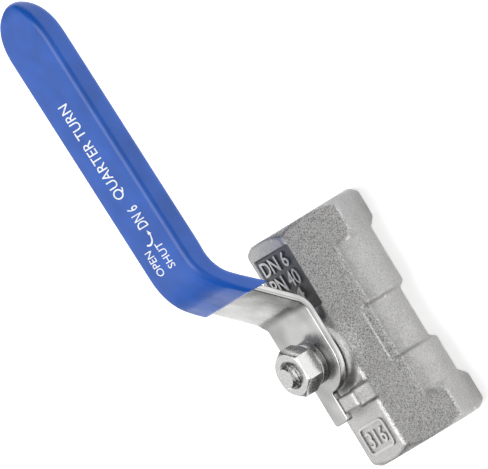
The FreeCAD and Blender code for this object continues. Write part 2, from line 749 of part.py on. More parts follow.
def sleeve_shell(name, wall, forward):
    """The handle's envelope grown by a wall, from the sleeve's mouth, or further forward, to the tip."""
    angle = size("incline_angle")
    depth = total("strap_thickness", wall)
    mouth = moved(FIRST_BEND, f"({size('sleeve_start')} - {forward})", angle)
    end = total("lever_reach", wall)
    outer_radius = total("second_bend_radius", "strap_thickness", wall)
    top_bend = rounded_bend(SECOND_BEND, minus(wall), outer_radius)
    below = total("handle_height", wall)
    side_corners = [
        moved(mouth, depth, f"({angle} - 90)"),
        bend_corner(SECOND_BEND, depth, below),
        handle_point(end, below),
        handle_point(end, minus(wall)),
        (*top_bend[1], (outer_radius, False)),
        top_bend[0],
        moved(mouth, wall, f"({angle} + 90)"),
    ]
    wide = total(half_strap, wall)
    narrow = total(half_handle, wall)
    nose_start = f"({size('lever_reach')} - {size('nose_length')})"
    nose = (nose_arc(total("nose_length", wall), narrow), False)
    plan_corners = [
        ("0", minus(wide)),
        (size("taper_start"), minus(wide)),
        (size("taper_end"), minus(narrow)),
        (nose_start, minus(narrow), nose),
        (end, "0", nose),
        (nose_start, narrow),
        (size("taper_end"), narrow),
        (size("taper_start"), wide),
        ("0", wide),
    ]
    side = slab(side_view(side_corners, f"{name}_side"), f"(4 * {wide})", FreeCAD.Vector(0, 1, 0))
    tall = total(overall_height, overall_height)
    plan = slab(plan_view(plan_corners, f"{name}_plan"), tall, FreeCAD.Vector(0, 0, 1))
    return common(name, side, plan)


def make_grip_sleeve():
    outside = sleeve_shell("sleeve_outside", size("sleeve_wall"), "0")
    inside = sleeve_shell("sleeve_inside", "0", str(CUTTER_REACH))
    return cut("grip_sleeve", outside, inside)


def make_spring_washer():
    outline = rectangle(size("washer_bore"), plate_top, size("washer_radius"), washer_top)
    body = turned_part("spring_washer", "V", outline)
    gap = half(size("washer_split"))
    lean = half(size("washer_thickness"))
    split = [
        (f"(-1 * {gap} - {lean})", plate_top),
        (f"({gap} - {lean})", plate_top),
        (f"({gap} + {lean})", washer_top),
        (f"(-1 * {gap} + {lean})", washer_top),
    ]
    sketch = body_sketch(body, "washer_split", "XZ", split)
    extrude(body, "Pocket", sketch, total("washer_radius", "washer_radius"))
    return body


def make_lever_nut():
    body = new_body("lever_nut")
    prism = body_sketch(body, "nut_hexagon", "XY", hexagon(size("nut_across_flats")), height=washer_top)
    extrude(body, "Pad", prism, size("nut_height"))
    flat = half(size("nut_across_flats"))
    far = total("nut_across_flats")
    drop = f"(({far} - {flat}) * tan(30))"
    for name, face, direction in (("top", nut_top, 1), ("bottom", washer_top, -1)):
        outline = [
            (flat, face),
            (far, f"({face} - {direction} * {drop})"),
            (far, f"({face} + {direction} * {CUTTER_REACH})"),
            (flat, f"({face} + {direction} * {CUTTER_REACH})"),
        ]
        turn(body, "Groove", body_sketch(body, f"nut_{name}_chamfer", "XZ", outline), "V")
    thread = size("thread_m4_radius")
    mouth = total("thread_m4_radius", "nut_countersink")
    hole = [
        ("0", washer_top),
        (mouth, washer_top),
        (thread, total(washer_top, "nut_countersink")),
        (thread, f"({nut_top} - {size('nut_countersink')})"),
        (mouth, nut_top),
        ("0", nut_top),
    ]
    turn(body, "Groove", body_sketch(body, "nut_hole", "XZ", hole), "V")
    return body


# ---- the assembly --------------------------------------------------------------------------------

sub_parts = [
    make_valve_body(),
    make_end_insert(),
    make_insert_gasket(),
    make_seat("seat_insert_side", 1),
    make_seat("seat_body_side", -1),
    make_ball(),
    make_stem(),
    make_thrust_washer(),
    *make_packing(),
    make_gland_follower(),
    make_gland_nut(),
    make_lever(),
    make_grip_sleeve(),
    make_spring_washer(),
    make_lever_nut(),
]
doc.recompute()

for item in doc.Objects:
    if {"Invalid", "Error"} & set(item.State):
        raise RuntimeError(f"{item.Label} could not be built: {item.State}")
for part in sub_parts:
    if part.Shape.isNull() or not part.Shape.isValid():
        raise RuntimeError(f"{part.Label} has no valid shape")
    if len(part.Shape.Solids) != 1:
        raise RuntimeError(f"{part.Label} is {len(part.Shape.Solids)} solids")

os.makedirs("parts", exist_ok=True)
for part in sub_parts:
    part.Shape.exportStep(f"parts/{part.Label}.step")
    box = part.Shape.BoundBox
    print(f"{part.Label:22s} {part.Shape.Volume:9.2f} mm3   X {box.XMin:7.2f} {box.XMax:7.2f}"
          f"   Y {box.YMin:7.2f} {box.YMax:7.2f}   Z {box.ZMin:7.2f} {box.ZMax:7.2f}")
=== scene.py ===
"""Quarter-turn ball valve in detail: cast body, turned internals, cranked lever and dipped grip sleeve."""
import json
import math
from contextlib import contextmanager
from functools import partial

import bmesh
import bpy
import numpy as np
from mathutils import Matrix, Vector


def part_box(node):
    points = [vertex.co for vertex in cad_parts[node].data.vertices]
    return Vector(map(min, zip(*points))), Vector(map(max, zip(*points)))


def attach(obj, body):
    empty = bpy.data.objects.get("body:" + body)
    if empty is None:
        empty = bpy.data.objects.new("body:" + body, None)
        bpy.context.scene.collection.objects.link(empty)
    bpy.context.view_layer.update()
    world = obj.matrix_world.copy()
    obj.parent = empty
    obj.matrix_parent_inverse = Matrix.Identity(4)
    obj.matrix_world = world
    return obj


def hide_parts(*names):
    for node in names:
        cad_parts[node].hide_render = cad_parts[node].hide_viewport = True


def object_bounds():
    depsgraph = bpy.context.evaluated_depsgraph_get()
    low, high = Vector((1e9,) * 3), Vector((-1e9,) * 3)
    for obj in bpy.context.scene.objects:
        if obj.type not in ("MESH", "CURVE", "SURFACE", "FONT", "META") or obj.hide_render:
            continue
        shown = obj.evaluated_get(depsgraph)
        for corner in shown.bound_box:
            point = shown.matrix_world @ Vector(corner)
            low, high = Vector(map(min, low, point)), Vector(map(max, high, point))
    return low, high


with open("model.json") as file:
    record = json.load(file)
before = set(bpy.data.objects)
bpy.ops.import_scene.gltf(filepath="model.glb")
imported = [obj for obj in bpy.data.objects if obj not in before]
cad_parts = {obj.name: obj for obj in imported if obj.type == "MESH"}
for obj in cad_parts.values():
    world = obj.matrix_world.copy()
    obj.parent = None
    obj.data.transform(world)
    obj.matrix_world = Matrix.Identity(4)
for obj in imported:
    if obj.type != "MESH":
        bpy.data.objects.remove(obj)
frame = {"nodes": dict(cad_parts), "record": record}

bl_info = {
    "name": "Ball valve",
    "version": (1, 0, 0),
    "blender": (4, 5, 0),
    "location": "View3D > Sidebar > Valve",
    "description": "Builds a quarter-turn ball valve round its packed frame",
    "category": "Add Mesh",
}

CAD_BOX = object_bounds()
MM = 0.001
SEED = 18
FIXED = "body"
TURNING = "stem_and_lever"
ONTO_BORE = Matrix(((0, 0, 1, 0), (1, 0, 0, 0), (0, 1, 0, 0), (0, 0, 0, 1)))  # turns +Z onto +X
SLANT = math.sqrt(3) / 2  # how far a hexagon's sloping flats lean
CUTTER_REACH = 1.0  # how far a cutter stands past the face that it cuts
STEPS_AROUND = 96
FIT_GAP = 0.02  # left between pieces that touch


def side(node, end, axis):
    """One side of a CAD node's box, in millimetres: end 0 is the low side and 1 the high one."""
    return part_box(node)[end]["XYZ".index(axis)] / MM


def port_radius():
    """The minor radius of the pipe thread, in millimetres, as the record states it."""
    return next(m for m in frame["record"]["mounts"] if m["name"] == "port_plain_side")["dims"]["r_mm"]


# ---- what a user would change ---------------------------------------------------------------------


def length(label, text, millimetres):
    metres = millimetres * MM
    return bpy.props.FloatProperty(
        name=label, description=text, default=metres, subtype="DISTANCE", unit="LENGTH", precision=5
    )


def angle(label, text, degrees):
    turn = math.radians(degrees)
    return bpy.props.FloatProperty(name=label, description=text, default=turn, subtype="ANGLE")


def colour(label, text, *rgb):
    return bpy.props.FloatVectorProperty(
        name=label, description=text, default=rgb, size=3, min=0.0, max=1.0, subtype="COLOR"
    )


def number(label, text, value):
    return bpy.props.FloatProperty(name=label, description=text, default=value)


class BodySizes(bpy.types.PropertyGroup):
    mesh_step: length("Mesh step", "Size of the faces of the cast skin", 0.2)
    corner_rounding: length("Corner rounding", "Rounding of the hexagon's long corners", 0.45)
    collar: length("Collar", "Full hexagon at each end", 5.45)
    chamfer_drop: length("Chamfer drop", "End chamfer, across the bore", 1.4)
    chamfer_run: length("Chamfer run", "End chamfer, along the bore", 1.15)
    belly_middle: length("Belly middle", "Middle of the hollowed belly, along the bore", -1.37)
    belly_length: length("Belly length", "Length of the hollowed belly", 9.9)
    belly_depth: length("Belly depth", "Depth of the hollowed belly", 1.0)
    belly_slope: length("Belly slope", "Run of the belly's end walls", 0.7)
    boss_radius: length("Boss radius", "Round boss that the stem comes out of", 5.8)
    boss_flare: length("Boss flare", "Hollow rounding at the foot of the boss", 1.3)
    lug_length: length("Lug length", "Stop lug, along the bore", 2.8)
    lug_near: length("Lug place", "Stem axis to the lug's near face", 6.7)
    lug_inner: length("Lug stop face", "Stem axis to the face that the tab meets", 0.4)
    lug_outer: length("Lug outer face", "Stem axis to the lug's outer face, at its top", 4.8)
    lug_rounding: length("Lug rounding", "Rounded top edges of the stop lug", 0.6)
    panel_start: length("Panel start", "Stem axis to the near end of the sunk panel", 7.0)
    panel_end: length("Panel end", "Stem axis to the far end of the sunk panel", 17.5)
    panel_side: length("Panel side", "Stem axis to the side wall of the sunk panel", 4.0)
    panel_depth: length("Panel depth", "Depth of the sunk panel", 0.4)
    mark_height: length("Mark height", "How far the cast characters stand up", 0.28)
    grain_height: length("Grain height", "Unevenness of the cast skin", 0.03)


class PortSizes(bpy.types.PropertyGroup):
    pitch: length("Port pitch", "Pitch of the pipe thread", 0.907)
    depth: length("Port thread depth", "Depth of the pipe thread", 0.56)
    chamfer: length("Mouth chamfer", "Lead-in at each port", 0.6)
    thread_length: length("Thread length", "Depth of the thread, with its chamfer", 9.5)
    drill_cone: length("Drill cone", "Cone between thread and passage", 0.9)
    key: length("Key", "Hexagonal key hole of the end insert, across flats", 5.6)


class LeverSizes(bpy.types.PropertyGroup):
    thickness: length("Strap thickness", "Thickness of the lever's strap", 1.2)
    width: length("Strap width", "Width of the strap where it is flat", 12.6)
    edge_rounding: length("Edge rounding", "Tumbled edges of the strap", 0.22)
    corner_radius: length("Corner radius", "Round corner beside the stem", 5.6)
    far_side: length("Far side", "Stem axis to the other edge beside the stem", 5.8)
    far_end: length("Far end", "Stem axis to the end of that edge", 3.2)
    far_step: length("Far step", "Slanted step to the full width", 1.0)
    tab_length: length("Tab length", "Stop tab, beyond the round corner", 4.9)
    tab_width: length("Tab width", "Stop tab", 3.8)
    tab_edge: length("Tab edge", "Stem axis to the tab's stop edge", 0.3)
    first_bend: length("First bend", "Stem axis to the first bend, on the top face", 8.4)
    incline: angle("Incline", "Slope of the lever's middle part", 50.0)
    handle_slope: angle("Handle slope", "Slope of the handle", 1.6)
    rise: length("Rise", "Height of the second bend above the first", 13.35)
    first_radius: length("First bend radius", "Inside the first bend", 3.0)
    second_radius: length("Second bend radius", "Inside the second bend", 8.0)
    handle_width: length("Handle width", "Handle, where the strap's edges are turned down", 10.4)
    handle_height: length("Handle height", "Handle, with its turned-down edges", 2.5)
    taper_start: length("Taper start", "Stem axis to where the strap starts to narrow", 15.5)
    taper_end: length("Taper end", "Stem axis to where the handle has its full depth", 24.0)
    nose: length("Nose", "Pointed end of the strap", 7.0)
    tip_cover: length("Tip cover", "The strap's tip stays this far inside its full length", 0.9)
    lip_gap: length("Lip gap", "The turned-down edges stop this far before the tip", 7.5)
    hole_flats: length("Hole flats", "Drive hole, across its flats", 4.3)
    hole_radius: length("Hole radius", "Drive hole, its round sides", 2.85)


class SleeveSizes(bpy.types.PropertyGroup):
    wall: length("Sleeve wall", "Thickness of the dipped sleeve", 0.75)
    mouth: length("Mouth", "First bend to the sleeve's mouth, along the incline", 9.2)
    rounding: length("Sleeve rounding", "Rounding of the sleeve's long edges", 1.0)
    print_height: length("Print height", "Thickness of the printed ink", 0.03)


class FasteningSizes(bpy.types.PropertyGroup):
    pitch: length("Stem pitch", "Pitch of the stem's thread", 0.7)
    depth: length("Stem thread depth", "Depth of the stem's thread", 0.38)
    flats: length("Stem flats", "Threaded end, across its two flats", 3.0)
    drive: length("Drive flats", "Stem's flats in the lever", 4.2)
    shaft: length("Shaft radius", "Stem shaft", 2.8)
    tang: length("Tang thickness", "Tongue in the ball's slot", 1.9)
    nut_across: length("Nut across flats", "Lever nut", 7.0)
    nut_edge: length("Nut edge", "Worn edges of the nut", 0.09)
    washer_gap: length("Washer gap", "Split of the spring washer", 0.5)
    washer_bore: length("Washer bore", "Inside radius of the spring washer", 2.15)


class Finishes(bpy.types.PropertyGroup):
    cast: colour("Cast steel", "Blasted cast skin", 0.56, 0.555, 0.55)
    # the dark end of the cast tone: the pits of the skin, and also the painted shade in the sunk panel and on
    # the body's lower half
    cast_dark: colour("Cast hollows", "Pits and hollows of the cast skin", 0.2, 0.197, 0.194)
    strap: colour("Lever steel", "Tumbled strap", 0.53, 0.528, 0.52)
    turned: colour("Turned steel", "Turned parts", 0.6, 0.595, 0.585)
    bright: colour("Fastener steel", "Bright fasteners", 0.6, 0.598, 0.59)
    vinyl: colour("Vinyl", "Dipped sleeve", 0.006, 0.072, 0.36)
    ink: colour("Ink", "Print on the sleeve", 0.86, 0.88, 0.9)
    plastic: colour("PTFE", "Seats and seals", 0.82, 0.82, 0.8)
    floor: colour("Floor", "Pale floor", 0.92, 0.92, 0.92)


class StageSettings(bpy.types.PropertyGroup):
    elevation: angle("Elevation", "Camera above the horizon", 35.8)
    roll: angle("Roll", "Camera turned about its own axis", 121.2)
    distance: length("Distance", "Camera to its aim", 3000.0)
    aim_x: length("Aim along", "What the camera aims at, along the bore", 22.1)
    aim_y: length("Aim across", "What the camera aims at, across the bore", 4.97)
    aim_z: length("Aim height", "What the camera aims at, up the stem", 6.89)
    view_width: length("View width", "Width of the view at the aim", 74.6)
    glow: number("Glow", "How much the table glows", 0.6)
    sky: number("Sky", "Strength of the surroundings", 1.1)
    key: number("Key", "Brightness of the soft light overhead", 2.7)


GROUPS = {
    "body": BodySizes,
    "port": PortSizes,
    "lever": LeverSizes,
    "sleeve": SleeveSizes,
    "fastening": FasteningSizes,
    "finish": Finishes,
    "stage": StageSettings,
}


class ValveSettings(bpy.types.PropertyGroup):
    __annotations__ = {name: bpy.props.PointerProperty(type=group) for name, group in GROUPS.items()}


class Millimetres:
    """Reads one group of sizes in millimetres and radians."""

    def __init__(self, name):
        self.group = getattr(bpy.context.scene.valve, name)

    def __getattr__(self, key):
        value = getattr(self.group, key)
        is_length = self.group.bl_rna.properties[key].subtype == "DISTANCE"
        return value / MM if is_length else value


def setting(group):
    return getattr(bpy.context.scene.valve, group)


# ---- meshes ---------------------------------------------------------------------------------------


def mesh_from(name, points, faces):
    """A mesh from points in millimetres."""
    mesh = bpy.data.meshes.new(name)
    mesh.from_pydata([tuple(p) for p in np.asarray(points, float) * MM], [], [tuple(f) for f in faces])
    mesh.update()
    return mesh


def new_object(name, mesh):
    obj = bpy.data.objects.new(name, mesh)
    bpy.context.scene.collection.objects.link(obj)
    return obj


def along_axis(name, mesh, axis):
    """Links a mesh that was built along +Z, turned along the bore if the axis is X."""
    if axis == "X":
        mesh.transform(ONTO_BORE)
    return new_object(name, mesh)


@contextmanager
def editing(obj):
    """An object's mesh opened for edits, and written back afterwards."""
    build = bmesh.new()
    build.from_mesh(obj.data)
    yield build
    build.to_mesh(obj.data)
    build.free()


def face_outwards(build):
    bmesh.ops.recalc_face_normals(build, faces=build.faces)


def applied(obj):
    """Turns an object's live result into its plain mesh and drops its modifiers."""
    graph = bpy.context.evaluated_depsgraph_get()
    graph.update()
    mesh = bpy.data.meshes.new_from_object(obj.evaluated_get(graph), depsgraph=graph)
    mesh.name = obj.name
    obj.modifiers.clear()
    obj.data = mesh
    return obj


def combine(obj, tool, operation="DIFFERENCE", solver="MANIFOLD"):
    """One boolean; the tool object is used up."""
    before = len(obj.data.polygons)
    modifier = obj.modifiers.new("combine", "BOOLEAN")
    modifier.object = tool
    modifier.operation = operation
    modifier.solver = solver
    applied(obj)
    bpy.data.objects.remove(tool)
    if not len(obj.data.polygons) or before == len(obj.data.polygons):
        raise RuntimeError(f"{obj.name}: the {operation.lower()} did nothing")
    return obj


def soften(obj, width, segments=2, limit=30.0):
    """Rounds the sharp edges of an object."""
    modifier = obj.modifiers.new("edges", "BEVEL")
    modifier.width = width * MM
    modifier.segments = segments
    modifier.limit_method = "ANGLE"
    modifier.angle_limit = math.radians(limit)
    return applied(obj)


def finish_piece(obj, body, slot, material, *nodes, sharp=35.0):
    """Shades a piece, gives it its finish and its body, and hides the CAD nodes that it stands for."""
    for polygon in obj.data.polygons:
        polygon.use_smooth = True
    if sharp:
        obj.data.set_sharp_from_angle(angle=math.radians(sharp))
    obj.data.materials.clear()
    obj.data.materials.append(material)
    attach(obj, body)
    if nodes:
        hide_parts(*nodes)
    return obj


def turned(name, outline, axis="Z", steps=STEPS_AROUND):
    """A solid turned from (along, radius) pairs that start and end on the axis."""
    points, rings = [], []
    for along, radius in outline:
        if radius < 1e-6:
            rings.append([len(points)])
            points.append((0.0, 0.0, along))
        else:
            rings.append(list(range(len(points), len(points) + steps)))
            for step in range(steps):
                turn = 2 * math.pi * step / steps
                points.append((radius * math.cos(turn), radius * math.sin(turn), along))
    faces = []
    for low, high in zip(rings, rings[1:]):
        for step in range(steps):
            after = (step + 1) % steps
            if len(low) == 1 and len(high) == 1:
                continue
            if len(low) == 1:
                faces.append((low[0], high[after], high[step]))
            elif len(high) == 1:
                faces.append((low[step], low[after], high[0]))
            else:
                faces.append((low[step], low[after], high[after], high[step]))
    return along_axis(name, mesh_from(name, points, faces), axis)


def prism(name, corners, low, high, axis="Z"):
    """A straight solid on a counter-clockwise outline."""
    count = len(corners)
    points = [(x, y, low) for x, y in corners] + [(x, y, high) for x, y in corners]
    faces = [tuple(reversed(range(count))), tuple(range(count, 2 * count))]
    faces += [(i, (i + 1) % count, count + (i + 1) % count, count + i) for i in range(count)]
    return along_axis(name, mesh_from(name, points, faces), axis)


def round_point(radius, turn, centre=(0.0, 0.0)):
    return centre[0] + radius * math.cos(turn), centre[1] + radius * math.sin(turn)


def hexagon(across):
    return [round_point(across / math.sqrt(3), k * math.pi / 3) for k in range(6)]


def block(low, high):
    return [(low[0], low[1]), (high[0], low[1]), (high[0], high[1]), (low[0], high[1])]


# ---- node trees -----------------------------------------------------------------------------------


class Wires:
    """Adds and links nodes in one tree."""

    def __init__(self, tree):
        self.nodes, self.links = tree.nodes, tree.links

    def plug(self, socket, term):
        if hasattr(term, "is_output"):
            self.links.new(term, socket)
        else:
            socket.default_value = term

    def calc(self, operation, *terms):
        node = self.nodes.new("ShaderNodeMath")
        node.operation = operation
        for socket, term in zip(node.inputs, terms):
            self.plug(socket, term)
        return node.outputs[0]

    def ramp(self, value, low, high, start=0.0, end=1.0):
        """A value mapped from one range onto another, and held at its ends."""
        node = self.nodes.new("ShaderNodeMapRange")
        names = ("Value", "From Min", "From Max", "To Min", "To Max")
        for name, given in zip(names, (value, low, high, start, end)):
            self.plug(node.inputs[name], given)
        return node.outputs[0]

    def split(self, vector):
        node = self.nodes.new("ShaderNodeSeparateXYZ")
        self.links.new(vector, node.inputs[0])
        return node.outputs

    def product(self, first, *others):
        for other in others:
            first = self.calc("MULTIPLY", first, other)
        return first

    def plus(self, first, *others):
        for other in others:
            first = self.calc("ADD", first, other)
        return first


# ---- threads: one node tree for every screw thread ------------------------------------------------


THREAD_INPUTS = (
    ("Crest Radius", "NodeSocketFloat"),
    ("Root Radius", "NodeSocketFloat"),
    ("Pitch", "NodeSocketFloat"),
    ("Start", "NodeSocketFloat"),
    ("Length", "NodeSocketFloat"),
    ("Lead In", "NodeSocketFloat"),
    ("Half Flats", "NodeSocketFloat"),
    ("Steps Around", "NodeSocketInt"),
    ("Steps Along", "NodeSocketInt"),
    ("Material", "NodeSocketMaterial"),
)


ROOT_FLAT = 0.16  # flat at the root and at the crest, as a share of half a pitch
MERGE_DISTANCE = 1e-6  # metres
NO_FLATS = 100.0
ROWS_PER_TURN = 10


def thread_tree():
    """A threaded rod along +Z: a grid rolled round the axis, its radius following the helix."""
    tree = bpy.data.node_groups.get("threaded_rod")
    if tree:
        return tree
    tree = bpy.data.node_groups.new("threaded_rod", "GeometryNodeTree")
    for name, kind in THREAD_INPUTS:
        tree.interface.new_socket(name=name, in_out="INPUT", socket_type=kind)
    tree.interface.new_socket(name="Geometry", in_out="OUTPUT", socket_type="NodeSocketGeometry")
    wires = Wires(tree)
    nodes, links, calc = wires.nodes, wires.links, wires.calc
    kinds = ("ADD", "SUBTRACT", "MULTIPLY", "DIVIDE", "MINIMUM", "MAXIMUM")
    add, take, times, over, least, most = (partial(calc, kind) for kind in kinds)
    given = nodes.new("NodeGroupInput")
    asked = {name: given.outputs[name] for name, _ in THREAD_INPUTS}

    grid = nodes.new("GeometryNodeMeshGrid")
    grid.inputs["Size X"].default_value = 1.0
    grid.inputs["Size Y"].default_value = 1.0
    links.new(asked["Steps Around"], grid.inputs["Vertices X"])
    links.new(asked["Steps Along"], grid.inputs["Vertices Y"])
    place = wires.split(nodes.new("GeometryNodeInputPosition").outputs[0])
    around = add(place[0], 0.5)

    # the first and the last row of the grid close the ends on the axis
    last = take(asked["Steps Along"], 1.0)
    row = times(add(place[1], 0.5), last)
    share = over(take(row, 1.0), take(last, 2.0))
    height = times(least(most(share, 0.0), 1.0), asked["Length"])
    rise = add(height, asked["Start"])

    # a ridge once a turn, with flats at its root and its crest
    phase = calc("FRACT", take(over(rise, asked["Pitch"]), around))
    ridge = take(1.0, calc("ABSOLUTE", take(times(phase, 2.0), 1.0)))
    ridge = over(take(ridge, ROOT_FLAT), 1.0 - 2 * ROOT_FLAT)
    ridge = least(most(ridge, 0.0), 1.0)
    depth = take(asked["Crest Radius"], asked["Root Radius"])
    radius = add(asked["Root Radius"], times(depth, ridge))

    # the cone at the far end, then the closed ends
    nose = add(take(asked["Crest Radius"], asked["Lead In"]), take(asked["Length"], height))
    radius = least(radius, nose)
    open_row = times(calc("GREATER_THAN", row, 0.5), calc("LESS_THAN", row, take(last, 0.5)))
    radius = times(radius, open_row)
    turn = times(around, 2 * math.pi)
    across = least(times(radius, calc("SINE", turn)), asked["Half Flats"])
    across = most(across, times(asked["Half Flats"], -1.0))
    where = nodes.new("ShaderNodeCombineXYZ")
    links.new(times(radius, calc("COSINE", turn)), where.inputs[0])
    links.new(across, where.inputs[1])
    links.new(rise, where.inputs[2])
    move = nodes.new("GeometryNodeSetPosition")
    links.new(grid.outputs["Mesh"], move.inputs["Geometry"])
    links.new(where.outputs[0], move.inputs["Position"])
    merge = nodes.new("GeometryNodeMergeByDistance")
    merge.inputs["Distance"].default_value = MERGE_DISTANCE
    links.new(move.outputs[0], merge.inputs["Geometry"])
    real = nodes.new("GeometryNodeRealizeInstances")
    links.new(merge.outputs[0], real.inputs[0])
    paint = nodes.new("GeometryNodeSetMaterial")
    links.new(real.outputs[0], paint.inputs["Geometry"])
    links.new(asked["Material"], paint.inputs["Material"])
    out = nodes.new("NodeGroupOutput")
    links.new(paint.outputs[0], out.inputs["Geometry"])
    return tree


def threaded_rod(name, crest, root, pitch, start, reach, material, lead=0.0, half_flats=NO_FLATS, axis="Z"):
    """A solid rod with a right-hand thread, along +Z or +X; sizes in millimetres."""
    obj = new_object(name, bpy.data.meshes.new(name))
    modifier = obj.modifiers.new("thread", "NODES")
    tree = thread_tree()
    modifier.node_group = tree
    rows = 3 + int(round(reach / pitch * ROWS_PER_TURN))
    values = (crest * MM, root * MM, pitch * MM, start * MM, reach * MM, lead * MM, half_flats * MM)
    values += (STEPS_AROUND + 1, rows, material)
    sockets = {item.name: item.identifier for item in tree.interface.items_tree if item.in_out == "INPUT"}
    for (label, _), value in zip(THREAD_INPUTS, values):
        modifier[sockets[label]] = value
    applied(obj)
    if axis == "X":
        obj.data.transform(ONTO_BORE)
    return obj


# ---- solids from distance fields: rounded, cast shapes --------------------------------------------


CELL_CORNERS = [(i, j, k) for i in (0, 1) for j in (0, 1) for k in (0, 1)]


def both(a, b, rounding):
    """Where both fields are solid, with the convex edge rounded."""
    corner = np.hypot(np.maximum(a + rounding, 0), np.maximum(b + rounding, 0))
    return np.minimum(-rounding, np.maximum(a, b)) + corner


def joined(a, b, fillet):
    """Where either field is solid, with the hollow edge filled."""
    corner = np.hypot(np.maximum(fillet - a, 0), np.maximum(fillet - b, 0))
    return np.maximum(fillet, np.minimum(a, b)) - corner


def smooth_step(value, low, high):
    share = np.clip((value - low) / (high - low), 0, 1)
    return share * share * (3 - 2 * share)


def lumps(x, y, z, cell, seed):
    """Smooth noise between -1 and 1 whose lumps are about one cell wide."""
    cells = 32
    spots = np.random.default_rng(seed).uniform(-1, 1, (cells, cells, cells))
    total = 0.0
    place = [axis / cell + 500.0 for axis in (x, y, z)]  # moved clear of zero
    whole = [np.floor(p).astype(int) for p in place]
    share = [(p - w) for p, w in zip(place, whole)]
    share = [s * s * (3 - 2 * s) for s in share]
    for corner in CELL_CORNERS:
        weight = 1.0
        for part, far in zip(share, corner):
            weight = weight * (part if far else 1 - part)
        total = total + weight * spots[tuple((w + far) % cells for w, far in zip(whole, corner))]
    return total


def skin(name, field, low, step):
    """The surface where a sampled field changes sign, one vertex in each cell that it crosses."""
    solid = field < 0
    cells = [slice(0, -1), slice(1, None)]
    count = sum(solid[cells[i], cells[j], cells[k]].astype(np.int8) for i, j, k in CELL_CORNERS)
    active = np.argwhere((count > 0) & (count < 8))
    number_of = -np.ones(count.shape, int)
    number_of[tuple(active.T)] = np.arange(len(active))
    values = {c: field[tuple((active + c).T)] for c in CELL_CORNERS}
    place = np.zeros((len(active), 3))
    hits = np.zeros(len(active))
    for a in CELL_CORNERS:
        for axis in range(3):
            if a[axis]:
                continue
            b = tuple(1 if n == axis else a[n] for n in range(3))
            crossing = (values[a] < 0) != (values[b] < 0)
            share = np.where(crossing, values[a] / np.where(crossing, values[a] - values[b], 1), 0)
            point = np.array(a, float) + share[:, None] * np.eye(3)[axis]
            place += np.where(crossing[:, None], point, 0)
            hits += crossing
    points = low + (active + place / hits[:, None]) * step
    faces = []
    for axis in range(3):
        first = np.moveaxis(solid, axis, 0)
        change = first[:-1] != first[1:]
        edges = np.moveaxis(change, 0, axis)
        where = np.argwhere(edges)
        one, two = (n for n in range(3) if n != axis)
        inside = (where[:, one] > 0) & (where[:, two] > 0)
        inside &= (where[:, one] < number_of.shape[one]) & (where[:, two] < number_of.shape[two])
        where = where[inside]
        ring = []
        for back_one, back_two in ((1, 1), (0, 1), (0, 0), (1, 0)):
            cell = where.copy()
            cell[:, one] -= back_one
            cell[:, two] -= back_two
            ring.append(number_of[tuple(cell.T)])
        quads = np.stack(ring, 1)
        outward = solid[tuple(where.T)] ^ (axis == 1)
        quads[~outward] = quads[~outward][:, ::-1]
        faces.append(quads)
    return new_object(name, mesh_from(name, points, np.concatenate(faces)))


# ---- materials ------------------------------------------------------------------------------------


class Paint(Wires):
    """Wires up one procedural material."""

    def __init__(self, name):
        self.material = bpy.data.materials.new(name)
        self.material.use_nodes = True
        super().__init__(self.material.node_tree)
        self.shader = self.nodes["Principled BSDF"]
        self.place = self.nodes.new("ShaderNodeTexCoord").outputs["Object"]

    def set(self, **values):
        for name, value in values.items():
            socket = self.shader.inputs[name.replace("_", " ")]
            socket.default_value = (*value, 1.0) if hasattr(value, "__len__") and len(value) == 3 else value
        return self

    def stretched(self, x=1.0, y=1.0, z=1.0):
        node = self.nodes.new("ShaderNodeMapping")
        node.inputs["Scale"].default_value = (x, y, z)
        self.links.new(self.place, node.inputs[0])
        return node.outputs[0]

    def noise(self, size, detail=3.0, rough=0.55, place=None):
        """Noise whose lumps are about one size wide, in millimetres."""
        node = self.nodes.new("ShaderNodeTexNoise")
        node.inputs["Scale"].default_value = 1 / (size * MM)
        node.inputs["Detail"].default_value = detail
        node.inputs["Roughness"].default_value = rough
        self.links.new(place or self.place, node.inputs["Vector"])
        return node.outputs["Fac"]

    def blend(self, factor, dark, light):
        node = self.nodes.new("ShaderNodeMix")
        node.data_type = "RGBA"
        self.links.new(factor, node.inputs["Factor"])
        node.inputs[6].default_value = (*dark, 1.0)
        node.inputs[7].default_value = (*light, 1.0)
        return node.outputs[2]

    def own(self, attribute):
        """The three values of a vector that the piece's mesh carries."""
        node = self.nodes.new("ShaderNodeAttribute")
        node.attribute_name = attribute
        return self.split(node.outputs["Vector"])

    def feed(self, name, socket):
        self.links.new(socket, self.shader.inputs[name])
        return self

    def tint(self, factor, light, dark):
        """A base colour between a darker share of a colour and the colour itself."""
        return self.feed("Base Color", self.blend(factor, [dark * c for c in light], light))

    def bump(self, *layers):
        """Stacked bumps, each a pair of a value and its height in millimetres."""
        before = None
        for value, height in layers:
            node = self.nodes.new("ShaderNodeBump")
            node.inputs["Strength"].default_value = 1.0
            node.inputs["Distance"].default_value = height * MM
            self.links.new(value, node.inputs["Height"])
            if before:
                self.links.new(before, node.inputs["Normal"])
            before = node.outputs[0]
        return self.feed("Normal", before)


def made_once(make):
    """Keeps one material for each kind of finish."""

    def give():
        name = f"{make.__name__}_finish"
        return bpy.data.materials.get(name) or make(name)

    return give


